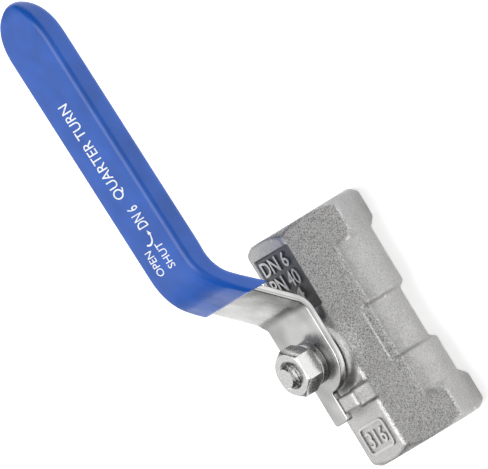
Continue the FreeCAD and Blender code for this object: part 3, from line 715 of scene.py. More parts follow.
@made_once
def cast_steel(name):
    """Blasted casting: grainy on top, smoother below, rubbed on the raised marks; painted shade darkens its
    lower half and the floor of the sunk panel, and its edges are lightened, partly as wear and partly as a
    painted highlight.
    """
    finish = setting("finish")
    size = Millimetres("body")
    paint = Paint(name).set(Metallic=1.0)
    x, y, z = paint.split(paint.place)
    flat = -side("valve_body", 0, "Z")
    left, right = side("valve_body", 0, "X"), side("valve_body", 1, "X")
    reach = paint.calc("ABSOLUTE", y)
    below = paint.calc("SUBTRACT", paint.product(reach, 0.33), paint.product(z, 0.944))
    below = paint.ramp(below, -0.2 * MM, 0.2 * MM)
    low, high, ease = left + size.collar, right - size.collar, 0.8
    between = paint.ramp(x, low * MM, (low + ease) * MM)
    between = paint.product(between, paint.ramp(x, high * MM, (high - ease) * MM))
    under = paint.ramp(z, 0.3 * MM, -0.3 * MM)
    top = paint.ramp(z, (flat - 0.25) * MM, (flat - 0.05) * MM)
    lower = paint.calc("MAXIMUM", paint.product(below, between), under)
    smooth = paint.calc("MAXIMUM", lower, paint.product(top, 0.6))
    rough = paint.ramp(smooth, 0.0, 1.0, 1.0, 0.3)
    grain = paint.noise(0.19, 2.0, 0.6)
    patches = paint.noise(3.0, 2.0)
    pits = paint.noise(0.42, 2.0, 0.6)
    tone = paint.plus(paint.product(paint.ramp(grain, 0.36, 0.64, -0.6, 0.6), rough), 0.68)
    tone = paint.product(tone, paint.ramp(pits, 0.25, 0.4, 0.75, 1.0))
    tone = paint.product(tone, paint.ramp(patches, 0.3, 0.7, 0.9, 1.05))
    # painted shade: the body's lower half and the low faces of its middle are darkened by 0.13; the same mask
    # also makes them smoother
    tone = paint.plus(tone, paint.ramp(lower, 0.0, 1.0, 0.0, -0.13))
    tone = paint.plus(tone, paint.ramp(top, 0.0, 1.0, 0.0, 0.06))
    # lighter edges where the mesh is pointed: partly edge wear, partly a painted highlight along the corners
    # and collar rims
    edges = paint.nodes.new("ShaderNodeNewGeometry").outputs["Pointiness"]
    tone = paint.plus(tone, paint.ramp(edges, 0.52, 0.58, 0.0, 0.6))
    # painted shade: the floor of the sunk panel, under the lever, is darkened to 0.12 of its tone; the raised
    # marks' tops are lightened as rubbed wear
    sunk = (flat - size.panel_depth) * MM
    panel = paint.ramp(x, (size.panel_start - 0.1) * MM, (size.panel_start + 0.1) * MM)
    panel = paint.product(panel, paint.ramp(x, (size.panel_end + 0.05) * MM, (size.panel_end - 0.1) * MM))
    panel = paint.product(panel, paint.ramp(y, (size.panel_side + 0.1) * MM, (size.panel_side - 0.1) * MM))
    panel = paint.product(panel, paint.ramp(z, sunk - 0.12 * MM, sunk - 0.04 * MM))
    floor = paint.product(panel, paint.ramp(z, sunk + 0.22 * MM, sunk + 0.1 * MM))
    crest = paint.product(panel, paint.ramp(z, sunk + 0.18 * MM, sunk + 0.26 * MM))
    tone = paint.product(tone, paint.ramp(floor, 0.0, 1.0, 1.0, 0.12))
    tone = paint.plus(tone, paint.product(crest, 0.7))
    paint.feed("Base Color", paint.blend(tone, finish.cast_dark, finish.cast))
    paint.feed("Roughness", paint.ramp(tone, 0.2, 0.9, 0.58, 0.4))
    grains = paint.product(grain, rough)
    return paint.bump((patches, 0.1), (paint.product(pits, rough), 0.06), (grains, 0.08)).material


@made_once
def strap_steel(name):
    """Tumbled strip: soft waves, faint lines along it, and the dull band of its sheared edges."""
    finish = setting("finish")
    paint = Paint(name).set(Metallic=1.0)
    depth = paint.own("flat_place")[2]
    lines = paint.noise(0.12, 2.0, 0.6, paint.stretched(0.06, 1.0, 0.06))
    waves = paint.noise(5.0, 1.0)
    specks = paint.noise(0.3, 2.0)
    shear = paint.product(paint.ramp(depth, 0.24, 0.32), paint.ramp(depth, 0.52, 0.4))
    tone = paint.product(paint.ramp(waves, 0.35, 0.65, 0.4, 1.0), paint.ramp(shear, 0.0, 1.0, 1.0, 0.0))
    paint.tint(tone, finish.strap, 0.5)
    paint.feed("Roughness", paint.ramp(lines, 0.3, 0.7, 0.2, 0.34))
    return paint.bump((waves, 0.1), (specks, 0.004), (lines, 0.004)).material


@made_once
def turned_steel(name):
    """Turned stainless steel: fine rings from the tool, seen as lines square to the axis."""
    finish = setting("finish")
    paint = Paint(name).set(Metallic=1.0)
    rings = paint.noise(0.09, 2.0, 0.6, paint.stretched(1.0, 0.1, 0.1))
    haze = paint.noise(1.8, 2.0)
    paint.tint(paint.ramp(haze, 0.35, 0.65), finish.turned, 0.75)
    paint.feed("Roughness", paint.ramp(rings, 0.3, 0.7, 0.2, 0.38))
    return paint.bump((rings, 0.006)).material


@made_once
def fastener_steel(name):
    """Bright nut, washer and stem end: small dents and rubbed edges."""
    finish = setting("finish")
    paint = Paint(name).set(Metallic=1.0)
    dents = paint.noise(0.8, 2.0)
    specks = paint.noise(0.16, 2.0)
    paint.tint(paint.ramp(specks, 0.3, 0.55), finish.bright, 0.72)
    paint.feed("Roughness", paint.ramp(specks, 0.3, 0.7, 0.16, 0.34))
    return paint.bump((dents, 0.03), (specks, 0.006)).material


@made_once
def dipped_vinyl(name):
    """Glossy dipped vinyl: slow ripples and tiny bubbles under a clear skin."""
    finish = setting("finish")
    paint = Paint(name).set(Roughness=0.24, Specular_IOR_Level=0.42)
    ripple = paint.noise(4.5, 1.0)
    fine = paint.noise(0.5, 2.0)
    light = [min(1.0, 1.25 * c + 0.004) for c in finish.vinyl]
    paint.feed("Base Color", paint.blend(paint.ramp(ripple, 0.3, 0.7), finish.vinyl, light))
    return paint.bump((ripple, 0.1), (fine, 0.004)).material


@made_once
def printed_ink(name):
    """White ink, a little worn."""
    finish = setting("finish")
    paint = Paint(name).set(Roughness=0.5)
    worn = paint.noise(0.25, 2.0)
    paint.tint(paint.ramp(worn, 0.35, 0.5), finish.ink, 0.8)
    return paint.bump((worn, 0.004)).material


@made_once
def ptfe(name):
    """Waxy white PTFE with faint turning marks."""
    finish = setting("finish")
    paint = Paint(name).set(Roughness=0.45, Subsurface_Weight=0.15)
    cloud = paint.noise(1.2, 2.0)
    paint.tint(cloud, finish.plastic, 0.92)
    return paint.bump((paint.noise(0.12, 1.0), 0.004)).material


@made_once
def pale_floor(name):
    """A pale table that glows faintly round the part, so that no hard shadow is left."""
    finish = setting("finish")
    stage = setting("stage")
    paint = Paint(name).set(Roughness=0.9)
    cloud = paint.noise(40.0, 2.0)
    x, y, _ = paint.split(paint.place)
    far = paint.calc("SQRT", paint.plus(paint.product(x, x), paint.product(y, y)))
    glow = paint.ramp(far, 0.16, 0.32, 1.0, 0.0)
    paint.tint(cloud, finish.floor, 0.985)
    paint.set(Emission_Color=(1.0, 1.0, 1.0))
    paint.feed("Emission Strength", paint.product(glow, stage.glow))
    return paint.material


# ---- the cast body --------------------------------------------------------------------------------


# roundings of the casting's edges, and its other small features, in millimetres
ROUND_BEND = 0.2
WAIST_EDGE = 0.5
CHAMFER_EDGE = 0.35
MOUTH_EDGE = 0.2
BELLY_CORNER, BELLY_FOOT, BELLY_RIM = 0.9, 0.25, 0.2
PANEL_FOOT, PANEL_RIM = 0.08, 0.1
BOSS_EDGE = 0.25
LUG_INNER_EDGE, LUG_OUTER_EDGE, LUG_FOOT = 0.3, 0.45, 0.6
LUG_DRAFT = 0.17  # how much the lug widens for each millimetre down
LUG_ROOT = 4.0  # height at which the lug ends inside the casting
COARSE_LUMPS, FINE_LUMPS = 1.4, 0.62


def body_skin(size):
    """The outside of the casting as a distance field, then as a mesh."""
    left, right = side("valve_body", 0, "X"), side("valve_body", 1, "X")
    flat = -side("valve_body", 0, "Z")
    boss_top = side("gland_nut", 1, "Z")
    lug_top = side("valve_body", 1, "Z")
    corner = flat / math.cos(math.pi / 6)
    step = size.mesh_step
    below, above = 0.53, 0.5  # room round the casting, off the grid's own step
    low = np.array([left - below, -corner - below, -flat - below])
    high = np.array([right + above, corner + above, lug_top + above])
    axes = [np.arange(low[n], high[n] + step, step) for n in range(3)]
    x, y, z = np.meshgrid(*axes, indexing="ij", sparse=True)
    reach = np.abs(y)
    radius = np.hypot(y, z)

    upper = SLANT * reach + 0.5 * z - flat
    lower = SLANT * reach - 0.5 * z - flat
    hexagonal = both(both(np.abs(z) - flat, upper, size.corner_rounding), lower, size.corner_rounding)
    round_start = left + size.collar + corner - flat
    round_end = right - size.collar - corner + flat
    past = np.maximum(round_start - x, x - round_end)
    bend = ROUND_BEND
    ramp = np.where(past < -bend, 0, np.where(past < bend, (past + bend) ** 2 / (4 * bend), past))
    under = SLANT * z - 0.5 * reach < 0
    limit = np.where(under, radius - flat - ramp, -corner)
    solid = both(hexagonal, limit, np.minimum(WAIST_EDGE, ramp))

    for end, way in ((right, 1), (left, -1)):
        slope = math.hypot(size.chamfer_drop, size.chamfer_run)
        cone = way * (x - end) * size.chamfer_drop + (radius - corner + size.chamfer_drop) * size.chamfer_run
        solid = both(solid, cone / slope, CHAMFER_EDGE)
        solid = both(solid, way * (x - end), MOUTH_EDGE)

    floor = flat - size.belly_depth
    tilt = size.belly_slope * (1 - np.clip((radius - floor) / size.belly_depth, 0, 1))
    ends = np.abs(x - size.belly_middle) - size.belly_length / 2 + tilt
    wall = both(ends, SLANT * z - 0.5 * reach, BELLY_CORNER)
    solid = both(solid, -both(wall, floor - radius, BELLY_FOOT), BELLY_RIM)

    across = np.maximum(x - size.panel_end, y - size.panel_side)
    sunk = both(np.maximum(across, size.panel_start - x), flat - size.panel_depth - z, PANEL_FOOT)
    solid = both(solid, -sunk, PANEL_RIM)

    boss = both(np.hypot(x, y) - size.boss_radius, z - boss_top, BOSS_EDGE)
    solid = joined(solid, np.maximum(boss, -z), size.boss_flare)
    drop = lug_top - z
    middle = size.lug_near + size.lug_length / 2
    lug = both(np.abs(x + middle) - size.lug_length / 2, y + size.lug_inner, LUG_INNER_EDGE)
    lug = both(lug, -y - size.lug_outer - LUG_DRAFT * drop, LUG_OUTER_EDGE)
    lug = both(lug, z - lug_top, size.lug_rounding)
    solid = joined(solid, np.maximum(lug, LUG_ROOT - z), LUG_FOOT)

    full = np.broadcast_arrays(x, y, z)
    machined = smooth_step(np.minimum(right - x, x - left), 0.15, 0.7)
    smooth_belt = smooth_step(-SLANT * z + 0.5 * reach, 0.0, 3.0) * smooth_step(-past, -0.8, 0.6)
    share = machined * (1 - 0.65 * smooth_belt)
    share = share * smooth_step(boss_top - z + 4 * (np.hypot(x, y) > size.boss_radius + 1), 0.05, 0.4)
    unevenness = 0.7 * lumps(*full, COARSE_LUMPS, SEED) + 0.6 * lumps(*full, FINE_LUMPS, SEED + 1)
    return skin("cast_body", solid + size.grain_height * share * unevenness, low, step)


def raised_text(words, height, width, origin, along, up, lift, bold=0.0):
    """Solid letters; origin is their lower left corner and lift how far they stand up, in millimetres."""
    curve = bpy.data.curves.new("letters", "FONT")
    curve.body = words
    curve.size = 1.0
    curve.offset = bold
    curve.extrude = 0.5
    curve.resolution_u = 3
    shape = new_object("letters", curve)
    mesh = bpy.data.meshes.new_from_object(shape)
    bpy.data.objects.remove(shape)
    obj = new_object("letters", mesh)
    along, up = Vector(along), Vector(up)
    normal = along.cross(up)
    with editing(obj) as build:
        bmesh.ops.remove_doubles(build, verts=build.verts, dist=1e-4)
        face_outwards(build)
        points = np.array([v.co for v in build.verts])
        least, most = points.min(0), points.max(0)
        for vertex in build.verts:
            share = [(vertex.co[n] - least[n]) / (most[n] - least[n]) for n in range(3)]
            place = Vector(origin) + along * width * share[0] + up * height * share[1]
            vertex.co = (place + normal * (lift[0] + (lift[1] - lift[0]) * share[2])) * MM
    return obj


def rounded_frame(middle, half, rounding, line, low, high):
    """A rounded rectangular line that stands up, in millimetres."""

    def loop(grow):
        points = []
        for quarter, (sx, sy) in enumerate(((1, 1), (-1, 1), (-1, -1), (1, -1))):
            centre = (middle[0] + sx * (half[0] - rounding), middle[1] + sy * (half[1] - rounding))
            for step in range(6):
                points.append(round_point(rounding + grow, math.pi / 2 * (quarter + step / 5), centre))
        return points

    outer = prism("frame_line", loop(line / 2), low, high)
    inside = prism("frame_inside", loop(-line / 2), low - CUTTER_REACH, high + CUTTER_REACH)
    return combine(outer, inside)


def passage_radius():
    """The bore of the seats' backs, a little wider than the ball's, in millimetres."""
    return side("ball", 1, "X") - 2.0


def body_bores(obj, port):
    """Cuts the ports, the cavity and the stem's bore, with the thread of the plain side."""
    left, right = side("valve_body", 0, "X"), side("valve_body", 1, "X")
    minor = port_radius()
    crest = minor + port.depth
    insert = side("end_insert", 1, "Y")
    cavity = side("seat_body_side", 1, "Y")
    passage = passage_radius()
    seat_back = side("seat_body_side", 0, "X")
    shoulder = side("insert_gasket", 0, "X")
    thread_end = left + port.thread_length
    lead_in = 0.35
    bore = [
        (left - CUTTER_REACH, 0),
        (left - CUTTER_REACH, crest + 1.2),
        (left, crest + 0.2),
        (left + port.chamfer + 0.2, minor),
        (thread_end, minor),
        (thread_end + port.drill_cone, passage),
        (seat_back, passage),
        (seat_back, cavity),
        (shoulder, cavity),
        (shoulder, insert),
        (right - lead_in, insert),
        (right, insert + lead_in),
        (right + CUTTER_REACH, insert + lead_in + CUTTER_REACH),
        (right + CUTTER_REACH, 0),
    ]
    combine(obj, turned("bore", bore, axis="X"))
    start, runout = left - 1.2, 0.6
    reach = thread_end - start - runout
    root = minor - FIT_GAP
    combine(obj, threaded_rod("thread_cutter", crest, root, port.pitch, start, reach, cast_steel(), axis="X"))
    pocket = side("thrust_washer", 1, "X") + 0.15
    shaft = Millimetres("fastening").shaft + 0.05
    gland = side("gland_nut", 1, "X")
    packing = side("stem_packing_lower", 1, "X")
    gland_floor, boss_top = side("gland_nut", 0, "Z"), side("gland_nut", 1, "Z")
    stem_bore = [
        (0, 0),
        (0, pocket),
        (side("thrust_washer", 1, "Z"), pocket),
        (side("thrust_washer", 1, "Z"), shaft),
        (side("stem_packing_lower", 0, "Z"), shaft),
        (side("stem_packing_lower", 0, "Z"), packing),
        (gland_floor, packing),
        (gland_floor, gland),
        (boss_top - 0.2, gland),
        (boss_top + 0.5, gland + 0.7),
        (boss_top + 0.5, 0),
    ]
    combine(obj, turned("stem_bore", stem_bore))


# the words, height, width and place along the bore of each line in the sunk panel
PANEL_MARKS = (("DN 6", 2.5, 7.2, 14.5), ("PN 40", 2.6, 7.6, 11.3), ("A 4", 1.9, 6.4, 9.0))


class VALVE_OT_body(bpy.types.Operator):
    """Cast body with its ports, panel, marks and stop lug"""

    bl_idname = "valve.body"
    bl_label = "Cast body"

    def execute(self, context):
        size, port = Millimetres("body"), Millimetres("port")
        obj = body_skin(size)
        flat = -side("valve_body", 0, "Z")
        sunk = flat - size.panel_depth
        lift = size.mark_height
        towards, top = (0, -1, 0), (1, 0, 0)
        foot = 0.3  # how far the marks reach into the casting
        for words, tall, width, place in PANEL_MARKS:
            origin = (place, 3.5, sunk)
            letters = raised_text(words, tall, width, origin, towards, top, (-foot, lift), bold=0.012)
            combine(obj, letters, "UNION")
        mark = raised_text("316", 2.7, 4.9, (-16.2, 2.3, flat), towards, top, (-foot, lift), bold=0.015)
        combine(obj, mark, "UNION")
        frame_line = rounded_frame((-14.8, -0.1), (2.2, 3.3), 0.7, 0.42, flat - foot, flat + lift)
        combine(obj, frame_line, "UNION")
        body_bores(obj, port)
        finish_piece(obj, FIXED, "cast_body", cast_steel(), "valve_body")
        return {"FINISHED"}


# ---- the flow path --------------------------------------------------------------------------------


class VALVE_OT_insert(bpy.types.Operator):
    """End insert with its pipe thread and its key hole"""

    bl_idname = "valve.insert"
    bl_label = "End insert"

    def execute(self, context):
        port = Millimetres("port")
        near, mouth = side("end_insert", 0, "X"), side("end_insert", 1, "X")
        outside = side("end_insert", 1, "Y") - FIT_GAP
        inner = side("seat_insert_side", 1, "Y") - FIT_GAP
        flange = side("insert_gasket", 1, "X")
        minor = port_radius()
        crest = minor + port.depth
        thread_end = mouth - port.thread_length
        edge = 0.3
        blank = [
            (near, 0),
            (near, inner),
            (flange, inner),
            (flange, outside),
            (mouth - edge, outside),
            (mouth, outside - edge),
            (mouth, 0),
        ]
        obj = turned("end_insert_part", blank, axis="X")
        passage = passage_radius()
        bore = [
            (near - 1, 0),
            (near - 1, passage),
            (thread_end - port.drill_cone, passage),
            (thread_end, minor),
            (mouth - port.chamfer - 0.2, minor),
            (mouth, crest + 0.2),
            (mouth + 1, crest + 1.2),
            (mouth + 1, 0),
        ]
        combine(obj, turned("insert_bore", bore, axis="X"))
        reach = port.thread_length + 0.4  # from 0.6 past the thread's end to clear of the mouth
        start, root, steel = thread_end + 0.6, minor - FIT_GAP, turned_steel()
        combine(obj, threaded_rod("insert_thread", crest, root, port.pitch, start, reach, steel, axis="X"))
        key = prism("insert_key", hexagon(port.key), near - 1, thread_end + 0.5, axis="X")
        combine(obj, key)
        finish_piece(obj, FIXED, "turned_steel", turned_steel(), "end_insert")
        return {"FINISHED"}


class VALVE_OT_internals(bpy.types.Operator):
    """Finishes of the ball, seats, seals and gland that the frame already shapes"""

    bl_idname = "valve.internals"
    bl_label = "Internals"

    def execute(self, context):
        finishes = {
            turned_steel: ("ball", "gland_follower", "gland_nut"),
            ptfe: (
                "insert_gasket",
                "seat_insert_side",
                "seat_body_side",
                "thrust_washer",
                "stem_packing_lower",
                "stem_packing_middle",
                "stem_packing_upper",
            ),
        }
        for finish, names in finishes.items():
            for name in names:
                mesh = frame["nodes"][name].data
                mesh.materials.clear()
                mesh.materials.append(finish())
        return {"FINISHED"}


# ---- stem, nut and washer -------------------------------------------------------------------------


THREAD_RADIUS = 2.0  # the stem's threaded end
FLANGE_LOW = 4.95  # ball centre to the underside of the stem's flange
TANG_REACH = 2.3  # half the length of the tongue in the ball's slot


class VALVE_OT_stem(bpy.types.Operator):
    """Stem with its flange, tongue, drive flats and threaded end"""

    bl_idname = "valve.stem"
    bl_label = "Stem"

    def execute(self, context):
        size = Millimetres("fastening")
        top = side("stem", 1, "Z")
        bottom = side("stem", 0, "Z")
        flange_low, flange_high = FLANGE_LOW, side("thrust_washer", 0, "Z")
        flange = side("stem", 1, "X")
        plate_low, plate_high = side("lever", 0, "Z"), side("spring_washer", 0, "Z")
        edge, clamp_gap = 0.1, 0.1
        shoulder = plate_high - clamp_gap
        crest = THREAD_RADIUS - FIT_GAP
        root = crest - size.depth
        outline = [
            (flange_low, 0),
            (flange_low, flange - edge),
            (flange_low + edge, flange),
            (flange_high - FIT_GAP, flange),
            (flange_high - FIT_GAP, size.shaft),
            (shoulder - edge, size.shaft),
            (shoulder, size.shaft - edge),
            (shoulder, root),
            (shoulder + 0.5, root),
            (shoulder + 0.5, 0),
        ]
        obj = turned("stem_part", outline)
        for way in (1, -1):
            near, far = sorted((way * size.drive / 2, way * 6))
            combine(obj, prism("flat", block((-6, near), (6, far)), plate_low, shoulder + 0.02))
        rod = threaded_rod(
            "stem_thread",
            crest,
            root,
            size.pitch,
            shoulder - 0.05,
            top - shoulder + 0.05,
            fastener_steel(),
            lead=0.42,
            half_flats=size.flats / 2,
        )
        combine(obj, rod, "UNION")
        half = (size.tang / 2, TANG_REACH)
        tongue = prism("tongue", block((-half[0], -half[1]), half), bottom, flange_low + 0.1)
        combine(obj, tongue, "UNION")
        finish_piece(obj, TURNING, "turned_steel", fastener_steel(), "stem", sharp=28)
        return {"FINISHED"}


class VALVE_OT_nut(bpy.types.Operator):
    """Hexagon nut with chamfered corners and its thread"""

    bl_idname = "valve.nut"
    bl_label = "Lever nut"

    def execute(self, context):
        size = Millimetres("fastening")
        low, high = side("lever_nut", 0, "Z"), side("lever_nut", 1, "Z")
        flat = size.nut_across / 2
        tip = flat / math.cos(math.pi / 6)
        face, rim = flat * 0.97, tip + 0.3
        drop = (rim - face) * math.tan(math.radians(30))
        obj = prism("lever_nut_part", hexagon(size.nut_across), low, high)
        envelope = [
            (low - 0.001, 0),
            (low - 0.001, face),
            (low + drop, rim),
            (high - drop, rim),
            (high + 0.001, face),
            (high + 0.001, 0),
        ]
        combine(obj, turned("nut_envelope", envelope, steps=192), "INTERSECT")
        soften(obj, size.nut_edge, limit=24)
        mouth, minor, lead = 2.33, 1.68, 0.45
        hole = [
            (low - CUTTER_REACH, 0),
            (low - CUTTER_REACH, mouth),
            (low, mouth),
            (low + lead, minor),
            (high - lead, minor),
            (high, mouth),
            (high + CUTTER_REACH, mouth),
            (high + CUTTER_REACH, 0),
        ]
        combine(obj, turned("nut_hole", hole))
        crest, past = THREAD_RADIUS + FIT_GAP, 0.5
        reach = high - low + 2 * past
        thread = threaded_rod(
            "nut_thread", crest, minor - FIT_GAP, size.pitch, low - past, reach, fastener_steel()
        )
        combine(obj, thread)
        finish_piece(obj, TURNING, "fastener_steel", fastener_steel(), "lever_nut", sharp=24)
        return {"FINISHED"}


class VALVE_OT_washer(bpy.types.Operator):
    """Split spring washer with rounded edges and a slanting gap"""

    bl_idname = "valve.washer"
    bl_label = "Spring washer"

    def execute(self, context):
        size = Millimetres("fastening")
        low, high = side("spring_washer", 0, "Z"), side("spring_washer", 1, "Z")
        inner, outer = size.washer_bore, side("spring_washer", 1, "X") - 0.15
        edge = 0.24
        ring = [(inner + edge, low), (outer - edge, low)]
        arc = (0.5, 1.05, 1.5708)
        rim = outer - edge
        ring += [(rim + edge * math.sin(t), low + edge - edge * math.cos(t)) for t in arc]
        ring += [(rim + edge * math.cos(t), high - edge + edge * math.sin(t)) for t in (0.0, *arc)]
        ring += [(inner + edge, high), (inner, high - edge), (inner, low + edge)]
        steps = 120
        points, faces = [], []
        for step in range(steps + 1):
            for radius, height in ring:
                lean = (height - (low + high) / 2) * 0.9
                gap = size.washer_gap / 2 / radius
                share = step / steps
                turn = gap + share * (2 * math.pi - 2 * gap) - lean / radius
                points.append((radius * math.cos(turn), radius * math.sin(turn), height))
        count = len(ring)
        for step in range(steps):
            for k in range(count):
                a, b = step * count + k, step * count + (k + 1) % count
                faces.append((a, a + count, b + count, b))
        faces.append(tuple(range(count)))
        faces.append(tuple(reversed(range(steps * count, (steps + 1) * count))))
        obj = new_object("spring_washer_part", mesh_from("spring_washer_part", points, faces))
        with editing(obj) as build:
            face_outwards(build)
        finish_piece(obj, TURNING, "fastener_steel", fastener_steel(), "spring_washer", sharp=40)
        return {"FINISHED"}


# ---- the lever and its sleeve ---------------------------------------------------------------------


class StrapPath:
    """The line that the strap's top face follows, from the tab to the tip."""

    def __init__(self, size):
        self.plate = side("spring_washer", 0, "Z")
        self.tip = side("lever", 1, "X")
        steep, flatter = size.incline, size.handle_slope
        self.runs = []
        far = size.rise / math.sin(steep)
        first = size.first_radius * math.tan(steep / 2)
        outer = size.second_radius + size.thickness
        second = outer * math.tan((steep - flatter) / 2)
        self.bend = size.first_bend
        self.second = (size.first_bend + size.rise / math.tan(steep), self.plate + size.rise)
        start = -30.0
        spot = np.array([start, self.plate])
        for run, slope, bend_to, radius in (
            (size.first_bend - first - start, 0.0, steep, size.first_radius),
            (far - first - second, steep, flatter, -outer),
            (90.0, flatter, None, None),
        ):
            self.runs.append(("line", run, spot, slope, 0.0))
            spot = spot + run * np.array([math.cos(slope), math.sin(slope)])
            if bend_to is not None:
                swing = bend_to - slope
                self.runs.append(("arc", abs(radius * swing), spot, slope, radius))
                centre = spot + radius * np.array([-math.sin(slope), math.cos(slope)])
                spot = centre + radius * np.array([math.sin(bend_to), -math.cos(bend_to)])
        self.start = start

    def at(self, travel):
        """The place (x, z) and slope at distances along the line, which read as x on the plate."""
        travel = np.asarray(travel, float)
        x = np.zeros_like(travel)
        z = np.zeros_like(travel)
        slope = np.zeros_like(travel)
        begin = self.start
        for kind, run, spot, turn, radius in self.runs:
            here = travel >= begin - 1e-9
            d = travel - begin
            if kind == "line":
                px, pz = spot[0] + d * math.cos(turn), spot[1] + d * math.sin(turn)
                angle_here = turn + 0 * d
            else:
                angle_here = turn + d / radius
                cx, cz = spot[0] - radius * math.sin(turn), spot[1] + radius * math.cos(turn)
                px, pz = cx + radius * np.sin(angle_here), cz - radius * np.cos(angle_here)
            x, z, slope = (np.where(here, new, old) for new, old in ((px, x), (pz, z), (angle_here, slope)))
            begin += run
        return x, z, slope

    def place(self, travel, across, depth):
        """Points at a distance along, a distance across and a depth below the top face."""
        x, z, slope = self.at(travel)
        return np.stack([x + depth * np.sin(slope), across + 0 * x, z - depth * np.cos(slope)], -1)

    def travel_to(self, x):
        """The distance along the line at which it reaches x."""
        grid = np.linspace(self.start + 1, 110, 12000)
        return np.interp(x, self.at(grid)[0], grid)


def nose_width(half, nose, left):
    """Half the width of the pointed end at a distance before its point."""
    radius = (nose**2 + half**2) / (2 * half)
    reach = np.clip(nose - left, 0, nose)
    return half - (radius - np.sqrt(np.maximum(radius**2 - reach**2, 0)))


def strap_outline(size, path):
    """The flat blank's outline, counter-clockwise, as (travel, across) pairs."""
    half = size.width / 2
    corner = size.corner_radius
    points = []

    def arc(cx, cy, radius, start, end, steps):
        for step in range(steps + 1):
            turn = math.radians(start + (end - start) * step / steps)
            points.append(round_point(radius, turn, (cx, cy)))

    tab_tip = -corner - size.tab_length
    tab_far = size.tab_width - size.tab_edge
    ease = 0.5
    arc(tab_tip + ease, -size.tab_edge + ease, ease, 180, 270, 5)
    points.append((-corner - 0.3, -size.tab_edge))
    arc(0, -half + corner, corner, 180, 270, 20)
    narrow = size.handle_width / 2
    taper = np.linspace(0, 1, 13)
    start, end = path.travel_to(size.taper_start), path.travel_to(size.taper_end)
    edge = [(start + (end - start) * t, half + (narrow - half) * (3 * t * t - 2 * t**3)) for t in taper]
    tip = path.travel_to(path.tip) - size.tip_cover
    nose = [tip - size.nose * (1 - t) for t in np.sin(np.linspace(0, math.pi / 2, 12))]
    nose = [(s, max(0.0, float(nose_width(narrow, size.nose, tip - s)))) for s in nose]
    points += [(s, -w) for s, w in edge] + [(s, -w) for s, w in nose[:-1]]
    points.append((tip, 0.0))
    points += [(s, w) for s, w in reversed(nose[:-1])] + [(s, w) for s, w in reversed(edge)]
    points.append((size.first_bend, half))
    points.append((size.first_bend - size.far_step, size.far_side))
    arc(-size.far_end + 1.2, size.far_side - 1.2, 1.2, 90, 180, 8)
    points.append((-size.far_end, tab_far + 0.4))
    arc(-size.far_end - 0.4, tab_far + 0.4, 0.4, 0, -90, 4)
    arc(tab_tip + ease, tab_far - ease, ease, 90, 180, 5)
    clean = [points[0]]
    for point in points[1:]:
        if math.dist(point, clean[-1]) > 0.02:
            clean.append(point)
    return clean


class VALVE_OT_lever(bpy.types.Operator):
    """Cranked strap with tumbled edges, bent from a flat blank"""

    bl_idname = "valve.lever"
    bl_label = "Lever"

    def execute(self, context):
        size = Millimetres("lever")
        path = StrapPath(size)
        outline = strap_outline(size, path)
        obj = prism("lever_strap", outline, -size.thickness, 0.0)
        soften(obj, size.edge_rounding, segments=3, limit=60)
        reach = math.asin(size.hole_flats / 2 / size.hole_radius)
        turns = [turn for way in (0, math.pi) for turn in np.linspace(way - reach, way + reach, 13)]
        hole = [round_point(size.hole_radius, turn) for turn in turns]
        combine(obj, prism("drive_hole", hole, -size.thickness - CUTTER_REACH, CUTTER_REACH))
        tip = path.travel_to(path.tip)
        lip_start, lip_end = path.travel_to(size.taper_end) + 0.5, tip - size.lip_gap
        for way in (1, -1):
            edge = way * size.handle_width / 2
            near, far = sorted((edge, edge - way * size.thickness))
            low, high = -size.handle_height, -size.thickness / 2
            combine(obj, prism("lip", block((lip_start, near), (lip_end, far)), low, high), "UNION")
        # cuts across the blank, close together where it will bend
        stations = [*np.arange(-10.0, 5.5, 1.5), *np.arange(5.6, 12.0, 0.25), *np.arange(12.2, 18.0, 0.8)]
        stations += [*np.arange(18.0, 30.0, 0.3), *np.arange(31, tip, 3.0)]
        with editing(obj) as build:
            for station in stations:
                whole = build.verts[:] + build.edges[:] + build.faces[:]
                spot = (station * MM, 0, 0)
                bmesh.ops.bisect_plane(build, geom=whole, dist=1e-7, plane_co=spot, plane_no=(1, 0, 0))
            bmesh.ops.triangulate(build, faces=[f for f in build.faces if len(f.verts) > 4])
        flat = np.array([v.co for v in obj.data.vertices]) / MM * (1, 1, -1)
        own = obj.data.attributes.new("flat_place", "FLOAT_VECTOR", "POINT")
        own.data.foreach_set("vector", flat.ravel())
        obj.data.vertices.foreach_set("co", (path.place(*flat.T) * MM).ravel())
        obj.data.update()
        finish_piece(obj, TURNING, "lever_steel", strap_steel(), "lever", sharp=50)
        return {"FINISHED"}


def sleeve_profile(lever, path, wall):
    """Half width, bottom depth and thickness share of the sleeve at distances along the strap."""
    half, narrow = lever.width / 2, lever.handle_width / 2
    start, end = path.travel_to(lever.taper_start), path.travel_to(lever.taper_end)
    tip = path.travel_to(path.tip) + wall
    nose = lever.nose + 1.2

    def at(travel):
        share = np.clip((travel - start) / (end - start), 0, 1)
        share = share * share * (3 - 2 * share)
        width = half + (narrow - half) * share + wall
        deep = np.clip((travel - start - 1.0) / (end - start), 0, 1)
        deep = deep * deep * (3 - 2 * deep)
        bottom = lever.thickness + (lever.handle_height - lever.thickness) * deep + wall
        ahead = np.clip((travel - tip + nose) / nose, 0, 1)
        width = width * np.sqrt(np.maximum(1 - ahead**2.2, 0))
        thick = np.sqrt(np.maximum(1 - ahead**3.0, 0))
        return width, -wall, bottom, thick

    return at, tip


